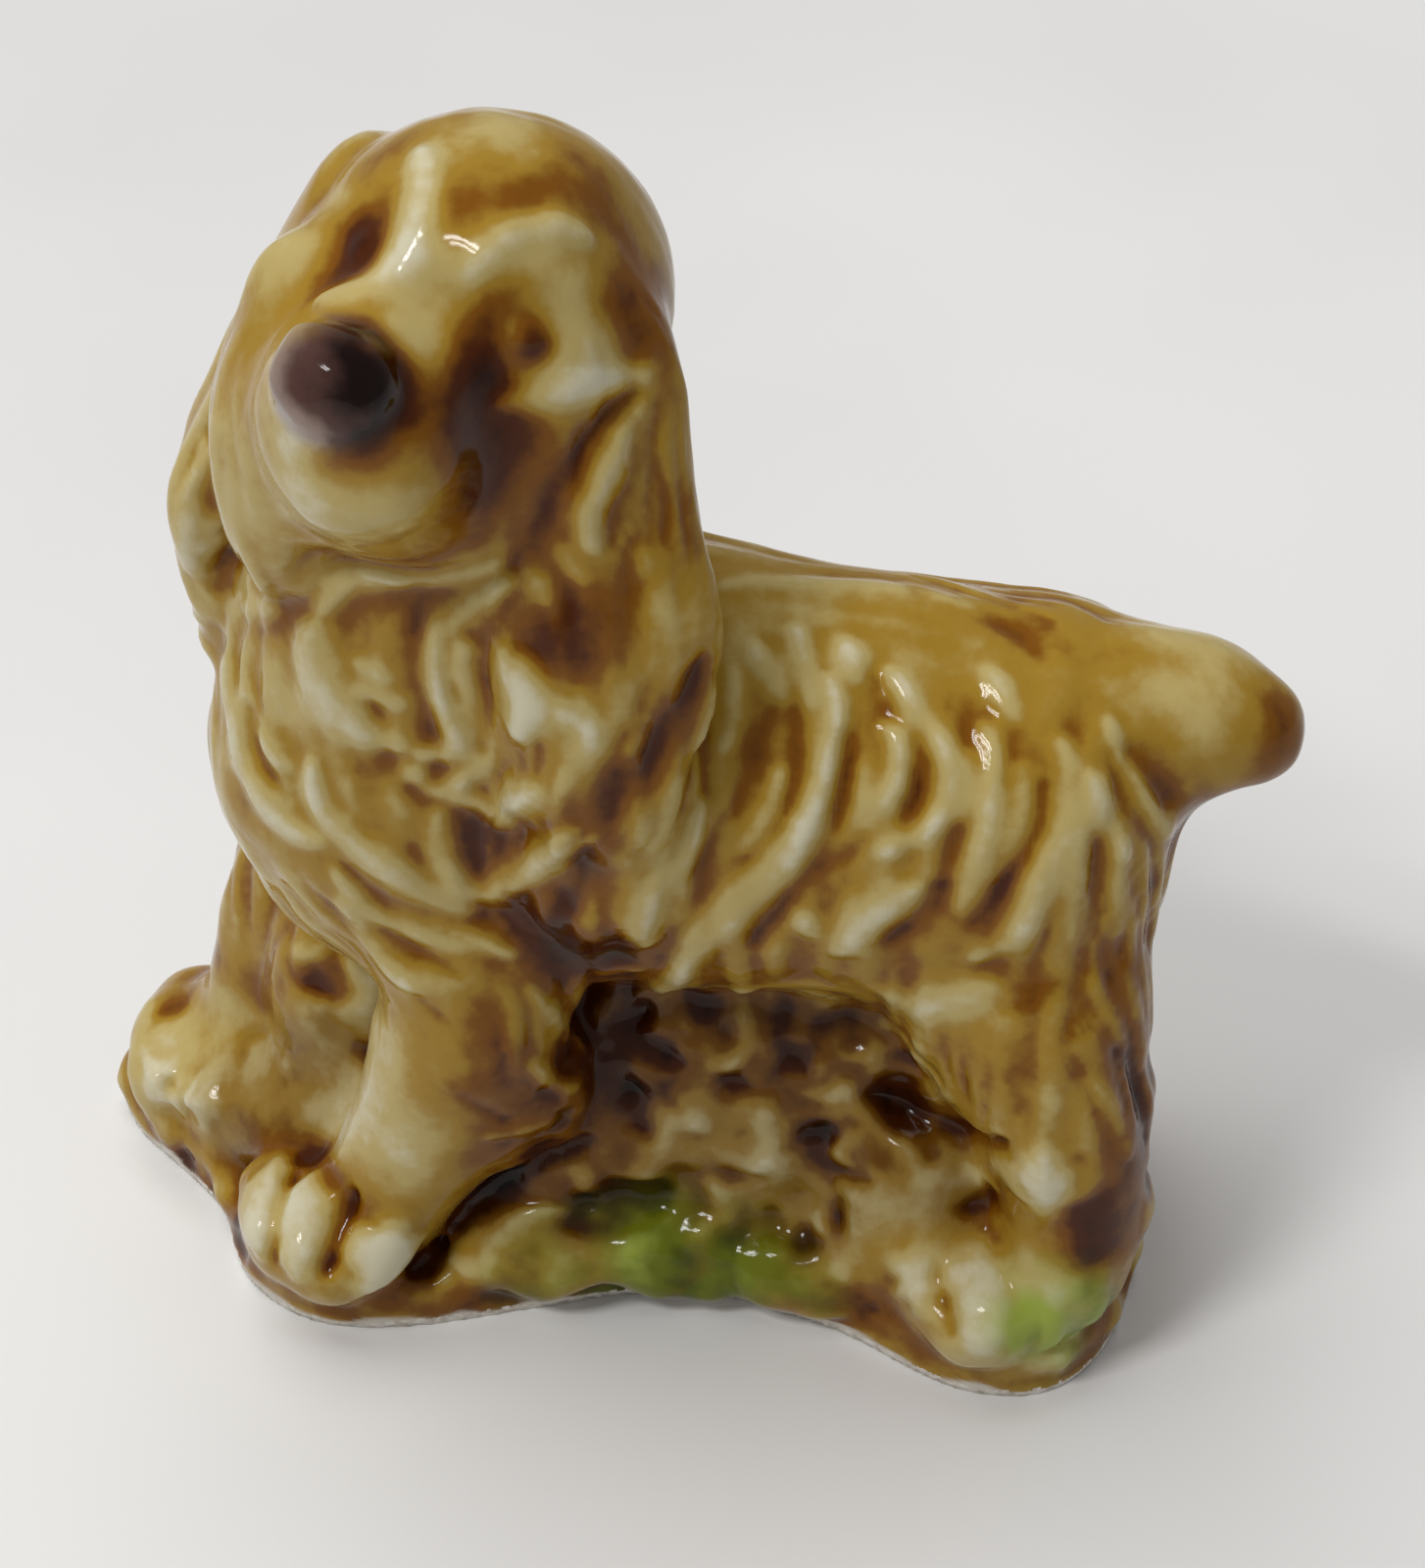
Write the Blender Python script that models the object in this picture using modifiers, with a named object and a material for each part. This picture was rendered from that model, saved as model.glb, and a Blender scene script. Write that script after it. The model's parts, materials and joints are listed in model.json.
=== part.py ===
"""A miniature pressed-porcelain spaniel standing on a rough ground base.

The real piece is fired as one body. It is laid out here as the clay masses that a
repairer would stick together with slip: base, bank of undergrowth, torso, ruff, head,
nose, two ears, four legs and a docked tail. A slip seam parts each mass from the next.

Millimetres are used for every named value and turned to metres by MM.
X is the dog's left, Y runs from nose to tail, Z is up, and the base rests on Z = 0.
"""

import math

import bmesh
import bpy
from mathutils import Euler, Matrix, Vector

MM = 0.001

# Driving dimensions of the figure.
BASE_THICKNESS = 1.6
BODY_RISE = 17.6  # middle of the torso above the top of the base
BODY_LENGTH = 12.4  # from the middle of the rib cage to the middle of the rump
RIB_RADIUS = 7.4
RUMP_RADIUS = 6.6
BODY_HALF_WIDTH = 5.7
BACK_DROP = 1.5  # the rump sits this far below the rib cage
CHEST_FORWARD = 5.6  # the ruff's middle ahead of the rib cage
HEAD_RISE = 16.3  # the skull's middle above the rib cage's
HEAD_FORWARD = 2.3  # the skull's middle ahead of the rib cage
SKULL_RADIUS = 4.8
HEAD_TURN = math.radians(67)  # towards the dog's left
HEAD_PITCH = math.radians(17)  # muzzle up
HEAD_ROLL = math.radians(-9)  # left cheek down
MUZZLE_LENGTH = 6.0
MUZZLE_RADIUS = 2.7
NOSE_RADIUS = 1.75
EAR_LENGTH = 13.0
EAR_HALF_WIDTH = 2.9
EAR_HALF_THICKNESS = 1.3
STANCE_HALF_WIDTH = 3.5
LEG_RADIUS = 2.3
PAW_LENGTH = 6.4
PAW_HALF_WIDTH = 2.7
TOE_RADIUS = 1.2
RIGHT_STEP = 5.2  # how far the right forepaw stands ahead of the left one
TAIL_LENGTH = 4.8
TAIL_RADIUS = 2.6

SEAM = 0.3  # thickness of the slip between two masses
CLAY_GRAIN = 0.42  # voxel size of the forms
KEPT_FACES = 0.085  # share of the remeshed faces that Decimate keeps

# The base's edge at rest, seen from above, anticlockwise from the right forepaw.
BASE_OUTLINE = (
    (-4.4, -18.9), (-2.2, -18.3), (0.0, -15.7), (1.7, -14.0), (4.3, -13.3), (6.2, -10.6),
    (5.9, -7.4), (4.9, -4.2), (3.6, -0.4), (3.6, 3.2), (5.0, 6.6), (7.0, 9.6),
    (7.2, 12.4), (5.4, 14.4), (1.5, 15.5), (-2.8, 15.4), (-6.0, 14.0), (-7.2, 10.8),
    (-6.2, 7.0), (-5.0, 2.6), (-5.2, -2.4), (-6.6, -7.0), (-7.1, -12.0), (-6.6, -16.6),
)


def clear_scene():
    for item in list(bpy.data.objects):
        bpy.data.objects.remove(item)


def collection(name):
    made = bpy.data.collections.new(name)
    bpy.context.scene.collection.children.link(made)
    return made


def glaze(name, colour, roughness):
    made = bpy.data.materials.new(name)
    made.use_nodes = True
    shader = made.node_tree.nodes["Principled BSDF"]
    shader.inputs["Base Color"].default_value = (*colour, 1.0)
    shader.inputs["Roughness"].default_value = roughness
    shader.inputs["Metallic"].default_value = 0.0
    return made


def pellet(centre, radii, turn=0.0):
    """One lump of clay: an ellipsoid at centre, turned about the vertical."""
    return Vector(centre), Vector(radii), turn


def between(stations, lumps):
    """The stations with evenly mixed ones put in between them."""
    rows = []
    for start, end in zip(stations, stations[1:]):
        for step in range(lumps):
            rows.append([a + (b - a) * step / lumps for a, b in zip(start, end)])
    rows.append(list(stations[-1]))
    return rows


def coil(stations, lumps=4):
    """A rolled coil of clay through (x, y, z, radius) stations."""
    return [pellet(row[:3], (row[3],) * 3) for row in between(stations, lumps)]


def swell(stations, lumps=3):
    """A mass that swells and narrows through (centre, radii) stations."""
    rows = between([(*centre, *radii) for centre, radii in stations], lumps)
    return [pellet(row[:3], row[3:]) for row in rows]


def flap(stations, turn, lumps=4):
    """A hanging ear through (x, y, z, share of full width) stations."""
    made = []
    for x, y, z, share in between(stations, lumps):
        wide = EAR_HALF_WIDTH * share
        made.append(pellet((x, y, z), (wide, EAR_HALF_THICKNESS, wide), turn))
    return made


def spin(turn):
    """A turn about the vertical, or the full tilt of the head when turn is a matrix."""
    if isinstance(turn, Matrix):
        return turn.to_4x4()
    return Euler((0, 0, turn)).to_matrix().to_4x4()


def clay_mesh(name, pellets, grow):
    """All pellets as icospheres in one mesh, each grown outwards by grow."""
    shape = bmesh.new()
    for centre, radii, turn in pellets:
        scale = Matrix.Diagonal((*[(r + grow) * MM for r in radii], 1.0))
        place = Matrix.Translation(centre * MM) @ spin(turn)
        bmesh.ops.create_icosphere(shape, subdivisions=3, radius=1.0, matrix=place @ scale)
    mesh = bpy.data.meshes.new(name)
    shape.to_mesh(mesh)
    shape.free()
    return mesh


def press(item):
    """Fuses the pellets of item into one smooth skin."""
    skin = item.modifiers.new("fuse", "REMESH")
    skin.mode = "VOXEL"
    skin.voxel_size = CLAY_GRAIN * MM
    skin.use_smooth_shade = True
    soft = item.modifiers.new("soften", "SMOOTH")
    soft.factor = 0.5
    soft.iterations = 4
    coarse = item.modifiers.new("coarsen", "DECIMATE")
    coarse.ratio = KEPT_FACES


def cutter_of(name, pellets):
    grown = bpy.data.objects.new("seam_" + name, clay_mesh("seam_" + name, pellets, SEAM))
    press(grown)
    cutters.objects.link(grown)
    grown.hide_render = True
    grown.display_type = "WIRE"
    return grown


def cut(item, *others):
    for other in others:
        seam = item.modifiers.new("cut by " + other.name, "BOOLEAN")
        seam.operation = "DIFFERENCE"
        seam.object = other


def mass(name, pellets, material, *others):
    """A named mass of clay, cut back by the grown forms of its neighbours."""
    item = bpy.data.objects.new(name, clay_mesh(name, pellets, 0.0))
    figure.objects.link(item)
    item.data.materials.append(material)
    press(item)
    cut(item, *others)
    return cutter_of(name, pellets)


def slab(name, low, high, inset):
    """The base's outline as a flat slab from low to high, drawn in by inset."""
    outline = bpy.data.curves.new(name, "CURVE")
    outline.dimensions = "2D"
    outline.fill_mode = "BOTH"
    outline.resolution_u = 3
    outline.extrude = (high - low) / 2 * MM
    outline.offset = -inset * MM
    spline = outline.splines.new("NURBS")
    spline.points.add(len(BASE_OUTLINE) - 1)
    for point, (x, y) in zip(spline.points, BASE_OUTLINE):
        point.co = (x * MM, y * MM, 0, 1)
    spline.use_cyclic_u = True
    spline.order_u = 3
    drawn = bpy.data.objects.new(name + "_outline", outline)
    drawn.location.z = (high + low) / 2 * MM
    bpy.context.scene.collection.objects.link(drawn)
    bpy.context.view_layer.update()
    graph = bpy.context.evaluated_depsgraph_get()
    mesh = bpy.data.meshes.new_from_object(drawn.evaluated_get(graph))
    shape = bmesh.new()
    shape.from_mesh(mesh)
    bmesh.ops.remove_doubles(shape, verts=shape.verts, dist=0.001 * MM)
    shape.to_mesh(mesh)
    shape.free()
    item = bpy.data.objects.new(name, mesh)
    item.matrix_world = drawn.matrix_world
    bpy.data.objects.remove(drawn)
    return item


def base_node(material):
    item = slab("base", 0.0, BASE_THICKNESS, 0.0)
    figure.objects.link(item)
    item.data.materials.clear()
    item.data.materials.append(material)
    grown = slab("seam_base", -1.0, BASE_THICKNESS + SEAM, -SEAM)
    cutters.objects.link(grown)
    grown.hide_render = True
    grown.display_type = "WIRE"
    return grown


clear_scene()
figure = collection("spaniel_figurine")
cutters = collection("seam_cutters")

honey = glaze("honey_glaze", (0.38, 0.22, 0.045), 0.12)
cream = glaze("cream_glaze", (0.55, 0.42, 0.18), 0.12)
brown = glaze("brown_glaze", (0.05, 0.025, 0.018), 0.12)
green = glaze("moss_glaze", (0.13, 0.22, 0.03), 0.14)

# Anchor points that the masses share.
ground = BASE_THICKNESS
ribs = Vector((0.0, -1.5, ground + BODY_RISE + 0.4))
rump = ribs + Vector((0.0, BODY_LENGTH, -BACK_DROP))
loin = ribs.lerp(rump, 0.5)
skull = ribs + Vector((1.9, -HEAD_FORWARD - 0.2, HEAD_RISE))
tilt = Euler((HEAD_ROLL, -HEAD_PITCH, HEAD_TURN - math.pi / 2)).to_matrix()
face_turn = HEAD_TURN - math.pi / 2


def on_head(x, y, z):
    """A point given as forward, left and up from the middle of the skull."""
    return skull + tilt @ Vector((x, y, z))


base_cut = base_node(cream)

torso_pellets = swell(
    [
        (ribs - Vector((0, 0, 0.3)), (BODY_HALF_WIDTH, RIB_RADIUS, RIB_RADIUS)),
        (loin - Vector((0, 0, 0.3)), (BODY_HALF_WIDTH - 0.3, RIB_RADIUS, RUMP_RADIUS)),
        (rump, (BODY_HALF_WIDTH - 0.1, RUMP_RADIUS - 1.4, RUMP_RADIUS)),
    ]
)
torso_pellets.append(pellet(loin + Vector((0, 0, 2.4)), (3.8, 9.4, 4.2)))
torso_pellets.append(pellet(rump + Vector((0, 0.8, 2.2)), (4.0, 4.6, 4.2)))
torso_cut = mass("torso", torso_pellets, honey)

chest = ribs + Vector((0.6, -CHEST_FORWARD, 0.2))
ruff_pellets = swell(
    [
        (ribs + Vector((1.2, -2.9, 10.4)), (4.6, 4.6, 5.0)),
        (ribs + Vector((0.8, -4.4, 6.6)), (5.3, 5.6, 5.8)),
        (chest, (5.5, 5.9, 5.8)),
        (chest + Vector((-0.2, 0.3, -2.8)), (5.0, 5.3, 4.7)),
    ]
)
ruff_pellets.append(pellet(ribs + Vector((0.6, -3.4, -3.8)), (4.8, 4.0, 4.0)))
ruff_cut = mass("ruff", ruff_pellets, cream, torso_cut)

head_pellets = [
    pellet(skull, (SKULL_RADIUS + 0.2, SKULL_RADIUS, SKULL_RADIUS), tilt),
    pellet(on_head(1.9, 0, 1.2), (2.7, 3.5, 2.7), tilt),
    pellet(on_head(-0.4, 0, -2.6), (4.2, 4.0, 3.4), tilt),
    pellet(on_head(4.4, 0, -3.6), (2.9, 2.1, 2.0), tilt),
]
for side in (-1, 1):
    head_pellets.append(pellet(on_head(1.4, side * 2.3, -1.8), (2.5, 2.2, 2.7), tilt))
    head_pellets.append(pellet(on_head(5.0, side * 1.25, -2.2), (2.3, 1.75, 2.3), tilt))
head_pellets += coil(
    [
        (*on_head(2.6, 0, -0.6), MUZZLE_RADIUS),
        (*on_head(MUZZLE_LENGTH, 0, -1.3), MUZZLE_RADIUS - 0.7),
    ]
)
head_cut = mass("head", head_pellets, honey, torso_cut, ruff_cut)

nose_at = on_head(MUZZLE_LENGTH + 1.3, 0, -0.6)
nose_pellets = [pellet(nose_at, (NOSE_RADIUS - 0.3, NOSE_RADIUS, NOSE_RADIUS - 0.2), tilt)]
nose_cut = mass("nose", nose_pellets, brown, head_cut)

ear_root = on_head(-0.2, SKULL_RADIUS - 0.9, 0.6)
drop = Vector((0, 0, -EAR_LENGTH))
left_ear = [
    (*(ear_root + Vector((0.4, -0.4, 0))), 0.8),
    (*(ear_root + drop * 0.3 + Vector((1.4, -0.4, 0))), 0.95),
    (*(ear_root + drop * 0.62 + Vector((2.4, -0.4, 0))), 1.1),
    (*(ear_root + drop + Vector((3.2, -0.4, 0))), 0.75),
]
mass(
    "left_ear",
    flap(left_ear, math.radians(105)),
    honey,
    torso_cut,
    ruff_cut,
    head_cut,
)

ear_root = on_head(-0.2, -SKULL_RADIUS + 0.9, 0.6)
right_ear = [
    (*(ear_root + Vector((0.0, -0.2, 0))), 0.8),
    (*(ear_root + drop * 0.3 + Vector((-0.2, -2.2, 0))), 0.95),
    (*(ear_root + drop * 0.66 + Vector((-0.2, -4.2, 0))), 1.1),
    (*(ear_root + drop + Vector((-0.4, -4.3, 0))), 0.8),
]
mass(
    "right_ear",
    flap(right_ear, face_turn),
    honey,
    torso_cut,
    ruff_cut,
    head_cut,
)

tail_root = rump + Vector((0.0, RUMP_RADIUS - 4.6, 3.4))
tail_cut = mass(
    "tail",
    coil(
        [
            (*tail_root, TAIL_RADIUS + 0.5),
            (*(tail_root + Vector((0, TAIL_LENGTH * 0.5, 0.1))), TAIL_RADIUS),
            (*(tail_root + Vector((0, TAIL_LENGTH - 0.8, -0.2))), TAIL_RADIUS - 0.7),
        ]
    ),
    honey,
    torso_cut,
)


def paw_pellets(paw, turn):
    """A flattened paw, turned out by turn, with three toes in front of the pad."""
    toes_way = Euler((0, 0, turn)).to_matrix()
    pad = (PAW_HALF_WIDTH, PAW_LENGTH / 2 - 0.3, 1.9)
    made = [pellet(paw + toes_way @ Vector((0, 0.6, 1.2)), pad, turn)]
    for share in (-1, 0, 1):
        reach = PAW_LENGTH / 2 - TOE_RADIUS - 0.6 * abs(share)
        toe = Vector((share * (PAW_HALF_WIDTH - TOE_RADIUS * 0.55), -reach, 1.3))
        radii = (TOE_RADIUS, TOE_RADIUS * 1.5, TOE_RADIUS * 1.3)
        made.append(pellet(paw + toes_way @ toe, radii, turn))
    return made


def leg(name, stations, paw, turn, extra, *others):
    """A leg coil from the body down to a paw that points forwards."""
    pellets = coil(stations) + paw_pellets(paw, turn) + extra
    return mass(name, pellets, cream, base_cut, torso_cut, ruff_cut, *others)


leg_cuts = []
for side, label, step, turn in ((1, "left", 0.0, 40), (-1, "right", RIGHT_STEP, -8)):
    shoulder = ribs + Vector((side * 3.8, -3.4 - step, -6.0 + step * 0.15))
    paw = Vector((side * STANCE_HALF_WIDTH + 0.2, -9.8 - step, ground))
    middle = shoulder.lerp(paw, 0.42) + Vector((0, 0.5 - step * 0.15, 0.0))
    feather = pellet(middle + Vector((0, 2.0, 0.6)), (1.5, 2.8, 3.6))
    leg_cuts.append(
        leg(
            label + "_foreleg",
            [
                (*shoulder, LEG_RADIUS + 0.6 - step * 0.05),
                (*middle, LEG_RADIUS),
                (*(paw + Vector((0, 1.6, 2.6))), LEG_RADIUS - 0.2),
            ],
            paw,
            math.radians(turn),
            [feather],
        )
    )

for side, label in ((1, "left"), (-1, "right")):
    paw = Vector((side * (STANCE_HALF_WIDTH + 0.6) + 0.4, rump.y + 0.2, ground))
    thigh = pellet(rump + Vector((side * 3.0, 0.2, -3.8)), (2.8, 4.2, 5.2))
    leg_cuts.append(
        leg(
            label + "_hindleg",
            [
                (*(rump + Vector((side * 3.6, 0.6, -4.4))), LEG_RADIUS + 0.9),
                (side * 4.5, rump.y + 2.0, ground + 7.2, LEG_RADIUS + 0.1),
                (paw.x, rump.y + 2.6, ground + 3.4, LEG_RADIUS - 0.3),
                (paw.x, rump.y + 1.8, ground + 1.6, LEG_RADIUS - 0.2),
            ],
            paw,
            math.radians(side * 20),
            [thigh],
            tail_cut,
        )
    )

# The bank rises into the belly, so its two middle lumps follow the belly's height.
belly = BODY_RISE - RIB_RADIUS
front_bank = (belly + 1.8) / 2
rear_bank = (belly + 1.2) / 2
bank = swell(
    [
        ((-0.4, -10.2, ground + 1.6), (2.8, 4.4, 2.8)),
        ((0.6, -5.0, ground + 2.8), (3.4, 5.0, 4.4)),
        ((0.0, 0.6, ground + front_bank - 1.0), (3.6, 5.0, front_bank + 1.0)),
        ((0.0, 6.6, ground + rear_bank - 1.1), (3.6, 5.0, rear_bank + 1.1)),
        ((1.0, 9.4, ground + 3.4), (3.0, 4.4, 4.6)),
    ]
)
bank.append(pellet((0.8, 2.8, ground + 1.4), (3.0, 8.4, 3.2)))
mass("undergrowth", bank, green, base_cut, torso_cut, ruff_cut, *leg_cuts)
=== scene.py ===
# The pressed body. A miniature of this kind is one lump of fine porcelain clay squeezed
# between two steel dies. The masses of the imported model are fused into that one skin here;
# the sections after this one model it, and the firing cuts it back into its named pieces.
import json
import math

import bpy
import numpy as np
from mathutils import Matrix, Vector, noise
from mathutils.bvhtree import BVHTree
from mathutils.kdtree import KDTree

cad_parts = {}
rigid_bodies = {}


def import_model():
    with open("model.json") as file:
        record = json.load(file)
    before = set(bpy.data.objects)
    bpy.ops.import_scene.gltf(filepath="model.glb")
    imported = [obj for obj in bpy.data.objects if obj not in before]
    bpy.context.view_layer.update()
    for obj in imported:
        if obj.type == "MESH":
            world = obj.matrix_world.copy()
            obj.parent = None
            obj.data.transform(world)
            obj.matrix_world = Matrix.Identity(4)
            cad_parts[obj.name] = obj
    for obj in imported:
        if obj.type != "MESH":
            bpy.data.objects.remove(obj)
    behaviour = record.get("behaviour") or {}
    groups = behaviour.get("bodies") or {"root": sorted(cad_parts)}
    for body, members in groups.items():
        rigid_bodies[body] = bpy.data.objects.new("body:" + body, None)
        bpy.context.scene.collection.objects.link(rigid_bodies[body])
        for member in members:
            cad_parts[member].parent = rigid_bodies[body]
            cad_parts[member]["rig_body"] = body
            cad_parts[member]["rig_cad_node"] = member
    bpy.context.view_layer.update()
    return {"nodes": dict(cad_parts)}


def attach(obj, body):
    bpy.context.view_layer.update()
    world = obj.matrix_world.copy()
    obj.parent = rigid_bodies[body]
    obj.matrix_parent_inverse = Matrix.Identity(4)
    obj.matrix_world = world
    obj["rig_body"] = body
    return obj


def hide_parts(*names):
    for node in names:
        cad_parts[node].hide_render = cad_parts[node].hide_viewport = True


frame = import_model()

MM = 0.001
SEAM_FILL = 0.24  # mm each mass grows by, so that the slip seams close
PRESS_GRAIN = 0.26  # mm, the first fusing of the masses
SKIN_GRAIN = 0.145  # mm, fine enough for a lock of hair 0.4 mm wide

bpy.ops.object.select_all(action="DESELECT")
blanks = []
names = sorted(frame["nodes"])
for name in names:
    blank = frame["nodes"][name].copy()
    blank.data = blank.data.copy()
    blank.parent = None
    bpy.context.scene.collection.objects.link(blank)
    blank.select_set(True)
    bpy.context.view_layer.objects.active = blank
    bpy.ops.object.mode_set(mode="EDIT")
    bpy.ops.mesh.select_all(action="SELECT")
    bpy.ops.mesh.remove_doubles(threshold=0.002 * MM)
    bpy.ops.object.mode_set(mode="OBJECT")
    blank.select_set(False)
    blanks.append(blank)


def apply_modifier(item, kind, **settings):
    made = item.modifiers.new(kind.lower(), kind)
    for key, value in settings.items():
        setattr(made, key, value)
    bpy.context.view_layer.objects.active = item
    bpy.ops.object.modifier_apply(modifier=made.name)


for blank in blanks:
    if "leg" in blank.name:
        apply_modifier(blank, "SMOOTH", factor=0.5, iterations=5)
    apply_modifier(blank, "DISPLACE", strength=SEAM_FILL * MM, mid_level=0.0)


def add_pellet(centre, radii):
    """A small lump of clay stuck on before pressing, in millimetres."""
    bpy.ops.object.select_all(action="DESELECT")
    bpy.ops.mesh.primitive_uv_sphere_add(
        segments=24, ring_count=16, radius=1.0, location=Vector(centre) * MM
    )
    lump = bpy.context.active_object
    lump.scale = Vector(radii) * MM
    bpy.ops.object.transform_apply(location=True, rotation=True, scale=True)
    blanks.append(lump)


# The cheeks, jaw and ears run into the ruff with no gap, and so do the tops of the forelegs.
add_pellet((3.9, -9.5, 32.2), (2.9, 1.9, 4.6))
add_pellet((3.4, -8.7, 36.2), (1.7, 1.7, 2.4))
add_pellet((5.8, -6.0, 32.3), (2.0, 3.0, 1.9))
add_pellet((5.0, -1.9, 32.6), (1.9, 2.2, 3.6))
add_pellet((4.6, -3.6, 27.0), (1.7, 1.7, 6.0))
add_pellet((4.4, -5.6, 15.2), (2.1, 2.6, 2.6))
add_pellet((-4.0, -10.6, 15.4), (2.0, 2.6, 2.6))
add_pellet((-0.7, -9.7, 8.2), (2.2, 3.0, 4.6))
# The bank fills the corner in front of the hind paw, and the hollow beside the right forepaw.
add_pellet((3.5, 8.0, 4.4), (2.3, 2.6, 4.2))
add_pellet((-0.9, -13.6, 3.0), (2.0, 2.2, 2.2))
# The left ear's end runs down into the shoulder.
add_pellet((5.5, -1.2, 19.8), (1.3, 2.2, 3.2))
# The slot under the belly is closed.
add_pellet((-0.2, -4.0, 10.8), (2.5, 2.8, 3.4))
# Tussocks along the front of the base.
add_pellet((4.2, -3.4, 2.2), (1.5, 3.0, 1.8))
add_pellet((3.9, -1.0, 2.3), (1.4, 2.2, 1.7))
add_pellet((3.8, 1.4, 2.1), (1.4, 2.6, 1.8))
add_pellet((4.1, 4.8, 2.0), (1.5, 2.8, 1.7))

bpy.ops.object.select_all(action="DESELECT")
for blank in blanks:
    blank.select_set(True)
figure = blanks[0]
bpy.context.view_layer.objects.active = figure
bpy.ops.object.join()
figure.name = "pressed_figure"
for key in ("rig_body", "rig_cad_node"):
    if key in figure:
        del figure[key]
apply_modifier(figure, "REMESH", mode="VOXEL", voxel_size=PRESS_GRAIN * MM)
apply_modifier(figure, "SMOOTH", factor=0.5, iterations=9)
apply_modifier(figure, "REMESH", mode="VOXEL", voxel_size=SKIN_GRAIN * MM)
apply_modifier(figure, "SMOOTH", factor=0.5, iterations=4)


def read_skin(item):
    """Vertex places in millimetres and outward normals of item."""
    mesh = item.data
    spots = np.empty(len(mesh.vertices) * 3, np.float32)
    mesh.vertices.foreach_get("co", spots)
    ways = np.empty(len(mesh.vertices) * 3, np.float32)
    mesh.vertex_normals.foreach_get("vector", ways)
    return spots.reshape(-1, 3).astype(np.float64) / MM, ways.reshape(-1, 3).astype(np.float64)


def write_skin(item, spots):
    item.data.vertices.foreach_set("co", (spots * MM).astype(np.float32).ravel())
    item.data.update()


skin, normal = read_skin(figure)
edges = np.empty(len(figure.data.edges) * 2, np.int64)
figure.data.edges.foreach_get("vertices", edges)
edges = edges.reshape(-1, 2)
links = np.bincount(edges.ravel(), minlength=len(skin)).astype(np.float64)


def from_neighbours(values, pairs, count, weights=1.0):
    """The weighted sum of the neighbours' values at each vertex."""
    start, end = pairs[:, 0], pairs[:, 1]
    at_start = np.bincount(start, weights=weights * values[end], minlength=count)
    return at_start + np.bincount(end, weights=weights * values[start], minlength=count)


HALF_WAY = 0.5  # how far each round of smoothing moves a value to its neighbours' mean


def relax(values, rounds, share=HALF_WAY):
    """Evens values out over the skin."""
    if values.ndim > 1:
        return np.stack([relax(column, rounds, share) for column in values.T], 1)
    values = values.astype(np.float64)
    for _ in range(rounds):
        mean = from_neighbours(values, edges, len(skin)) / links
        values = values + share * (mean - values)
    return values


def ball(centre, radii, soft=0.35):
    """A share for each vertex: 1 inside an ellipsoid, falling off to 0 round it."""
    gap = np.sqrt((((skin - np.array(centre)) / np.array(radii)) ** 2).sum(1))
    return np.clip((1 + soft - gap) / (2 * soft), 0, 1)


def wipe(centre, radii, rounds):
    """Smooths one part of the skin, as with a wet brush."""
    wet = ball(centre, radii)
    near = edges[(wet > 0)[edges].any(1)]
    used, near = np.unique(near, return_inverse=True)
    near = near.reshape(-1, 2)
    places = skin[used].copy()
    count = np.bincount(near.ravel(), minlength=len(used))
    inside = (wet[used] > 0) * HALF_WAY
    for _ in range(rounds):
        for k in range(3):
            total = from_neighbours(places[:, k], near, len(used))
            places[:, k] += inside * (total / count - places[:, k])
    skin[used] += wet[used, None] * (places - skin[used])


# the joins between the masses, wiped over before the hair is cut in
wipe((5.0, -3.8, 26.0), (3.4, 2.8, 9.0), 160)
wipe((6.0, -0.8, 21.4), (3.2, 3.8, 4.4), 200)
wipe((5.0, -1.8, 33.0), (3.4, 2.8, 4.0), 140)
wipe((3.2, 0.3, 37.8), (2.8, 2.4, 2.4), 140)
wipe((7.6, -4.0, 35.3), (2.0, 1.8, 2.4), 140)
wipe((4.8, -9.4, 33.4), (4.6, 3.2, 5.6), 160)
wipe((6.6, -6.6, 31.4), (3.6, 4.4, 2.8), 120)
wipe((4.4, -5.4, 15.4), (4.2, 4.6, 3.4), 120)
wipe((-4.0, -10.4, 15.4), (4.2, 4.6, 3.4), 120)
wipe((-0.6, -10.2, 8.0), (3.0, 3.6, 4.2), 100)
wipe((-1.0, -14.4, 3.8), (2.8, 3.0, 2.8), 120)
wipe((4.2, 8.4, 6.4), (3.0, 3.2, 4.6), 160)
wipe((0.0, 0.0, 12.0), (6.5, 14.0, 1.6), 40)
wipe((4.0, 10.0, 14.0), (4.5, 6.0, 3.5), 80)
wipe((-4.0, 10.0, 14.0), (4.5, 6.0, 3.5), 80)
wipe((0.0, 15.6, 20.6), (4.2, 3.0, 3.6), 120)
skin = relax(skin, 3)
write_skin(figure, skin)
skin, normal = read_skin(figure)
rise = np.zeros(len(skin))  # how far modelling lifts the clay, mm
# tone also carries the painted shade and painted light laid in below
tone = np.zeros(len(skin))  # how deep the glaze colour is, beyond the pooling
flow = np.zeros((len(skin), 3))  # which way the hair lies
finder = KDTree(len(skin))
for at, spot in enumerate(skin):
    finder.insert(spot, at)
finder.balance()

# The torso: a barrel of porcelain clay with long wavy feathering combed down its sides in
# the die, under a honey lead-style glaze. The feathering of the far side is this side's
# turned over.
LOCK_RIDGE = 0.21  # mm a full-strength lock stands up
LOCK_PARTING = 0.25  # mm a full-strength parting cuts in
USUAL_WIDTH = 0.41  # mm, half a common lock: wider strokes stand higher, narrower ones lower
COMBED_AREA = 3.2  # mm2 round a stroke where the hair turns to lie along it
FAR_SIDE_TOP = 20.5  # mm, above which the far side's hair isn't repeated
FAR_SIDE_SHARE = 0.9  # the far side's strokes are a little fainter


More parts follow.
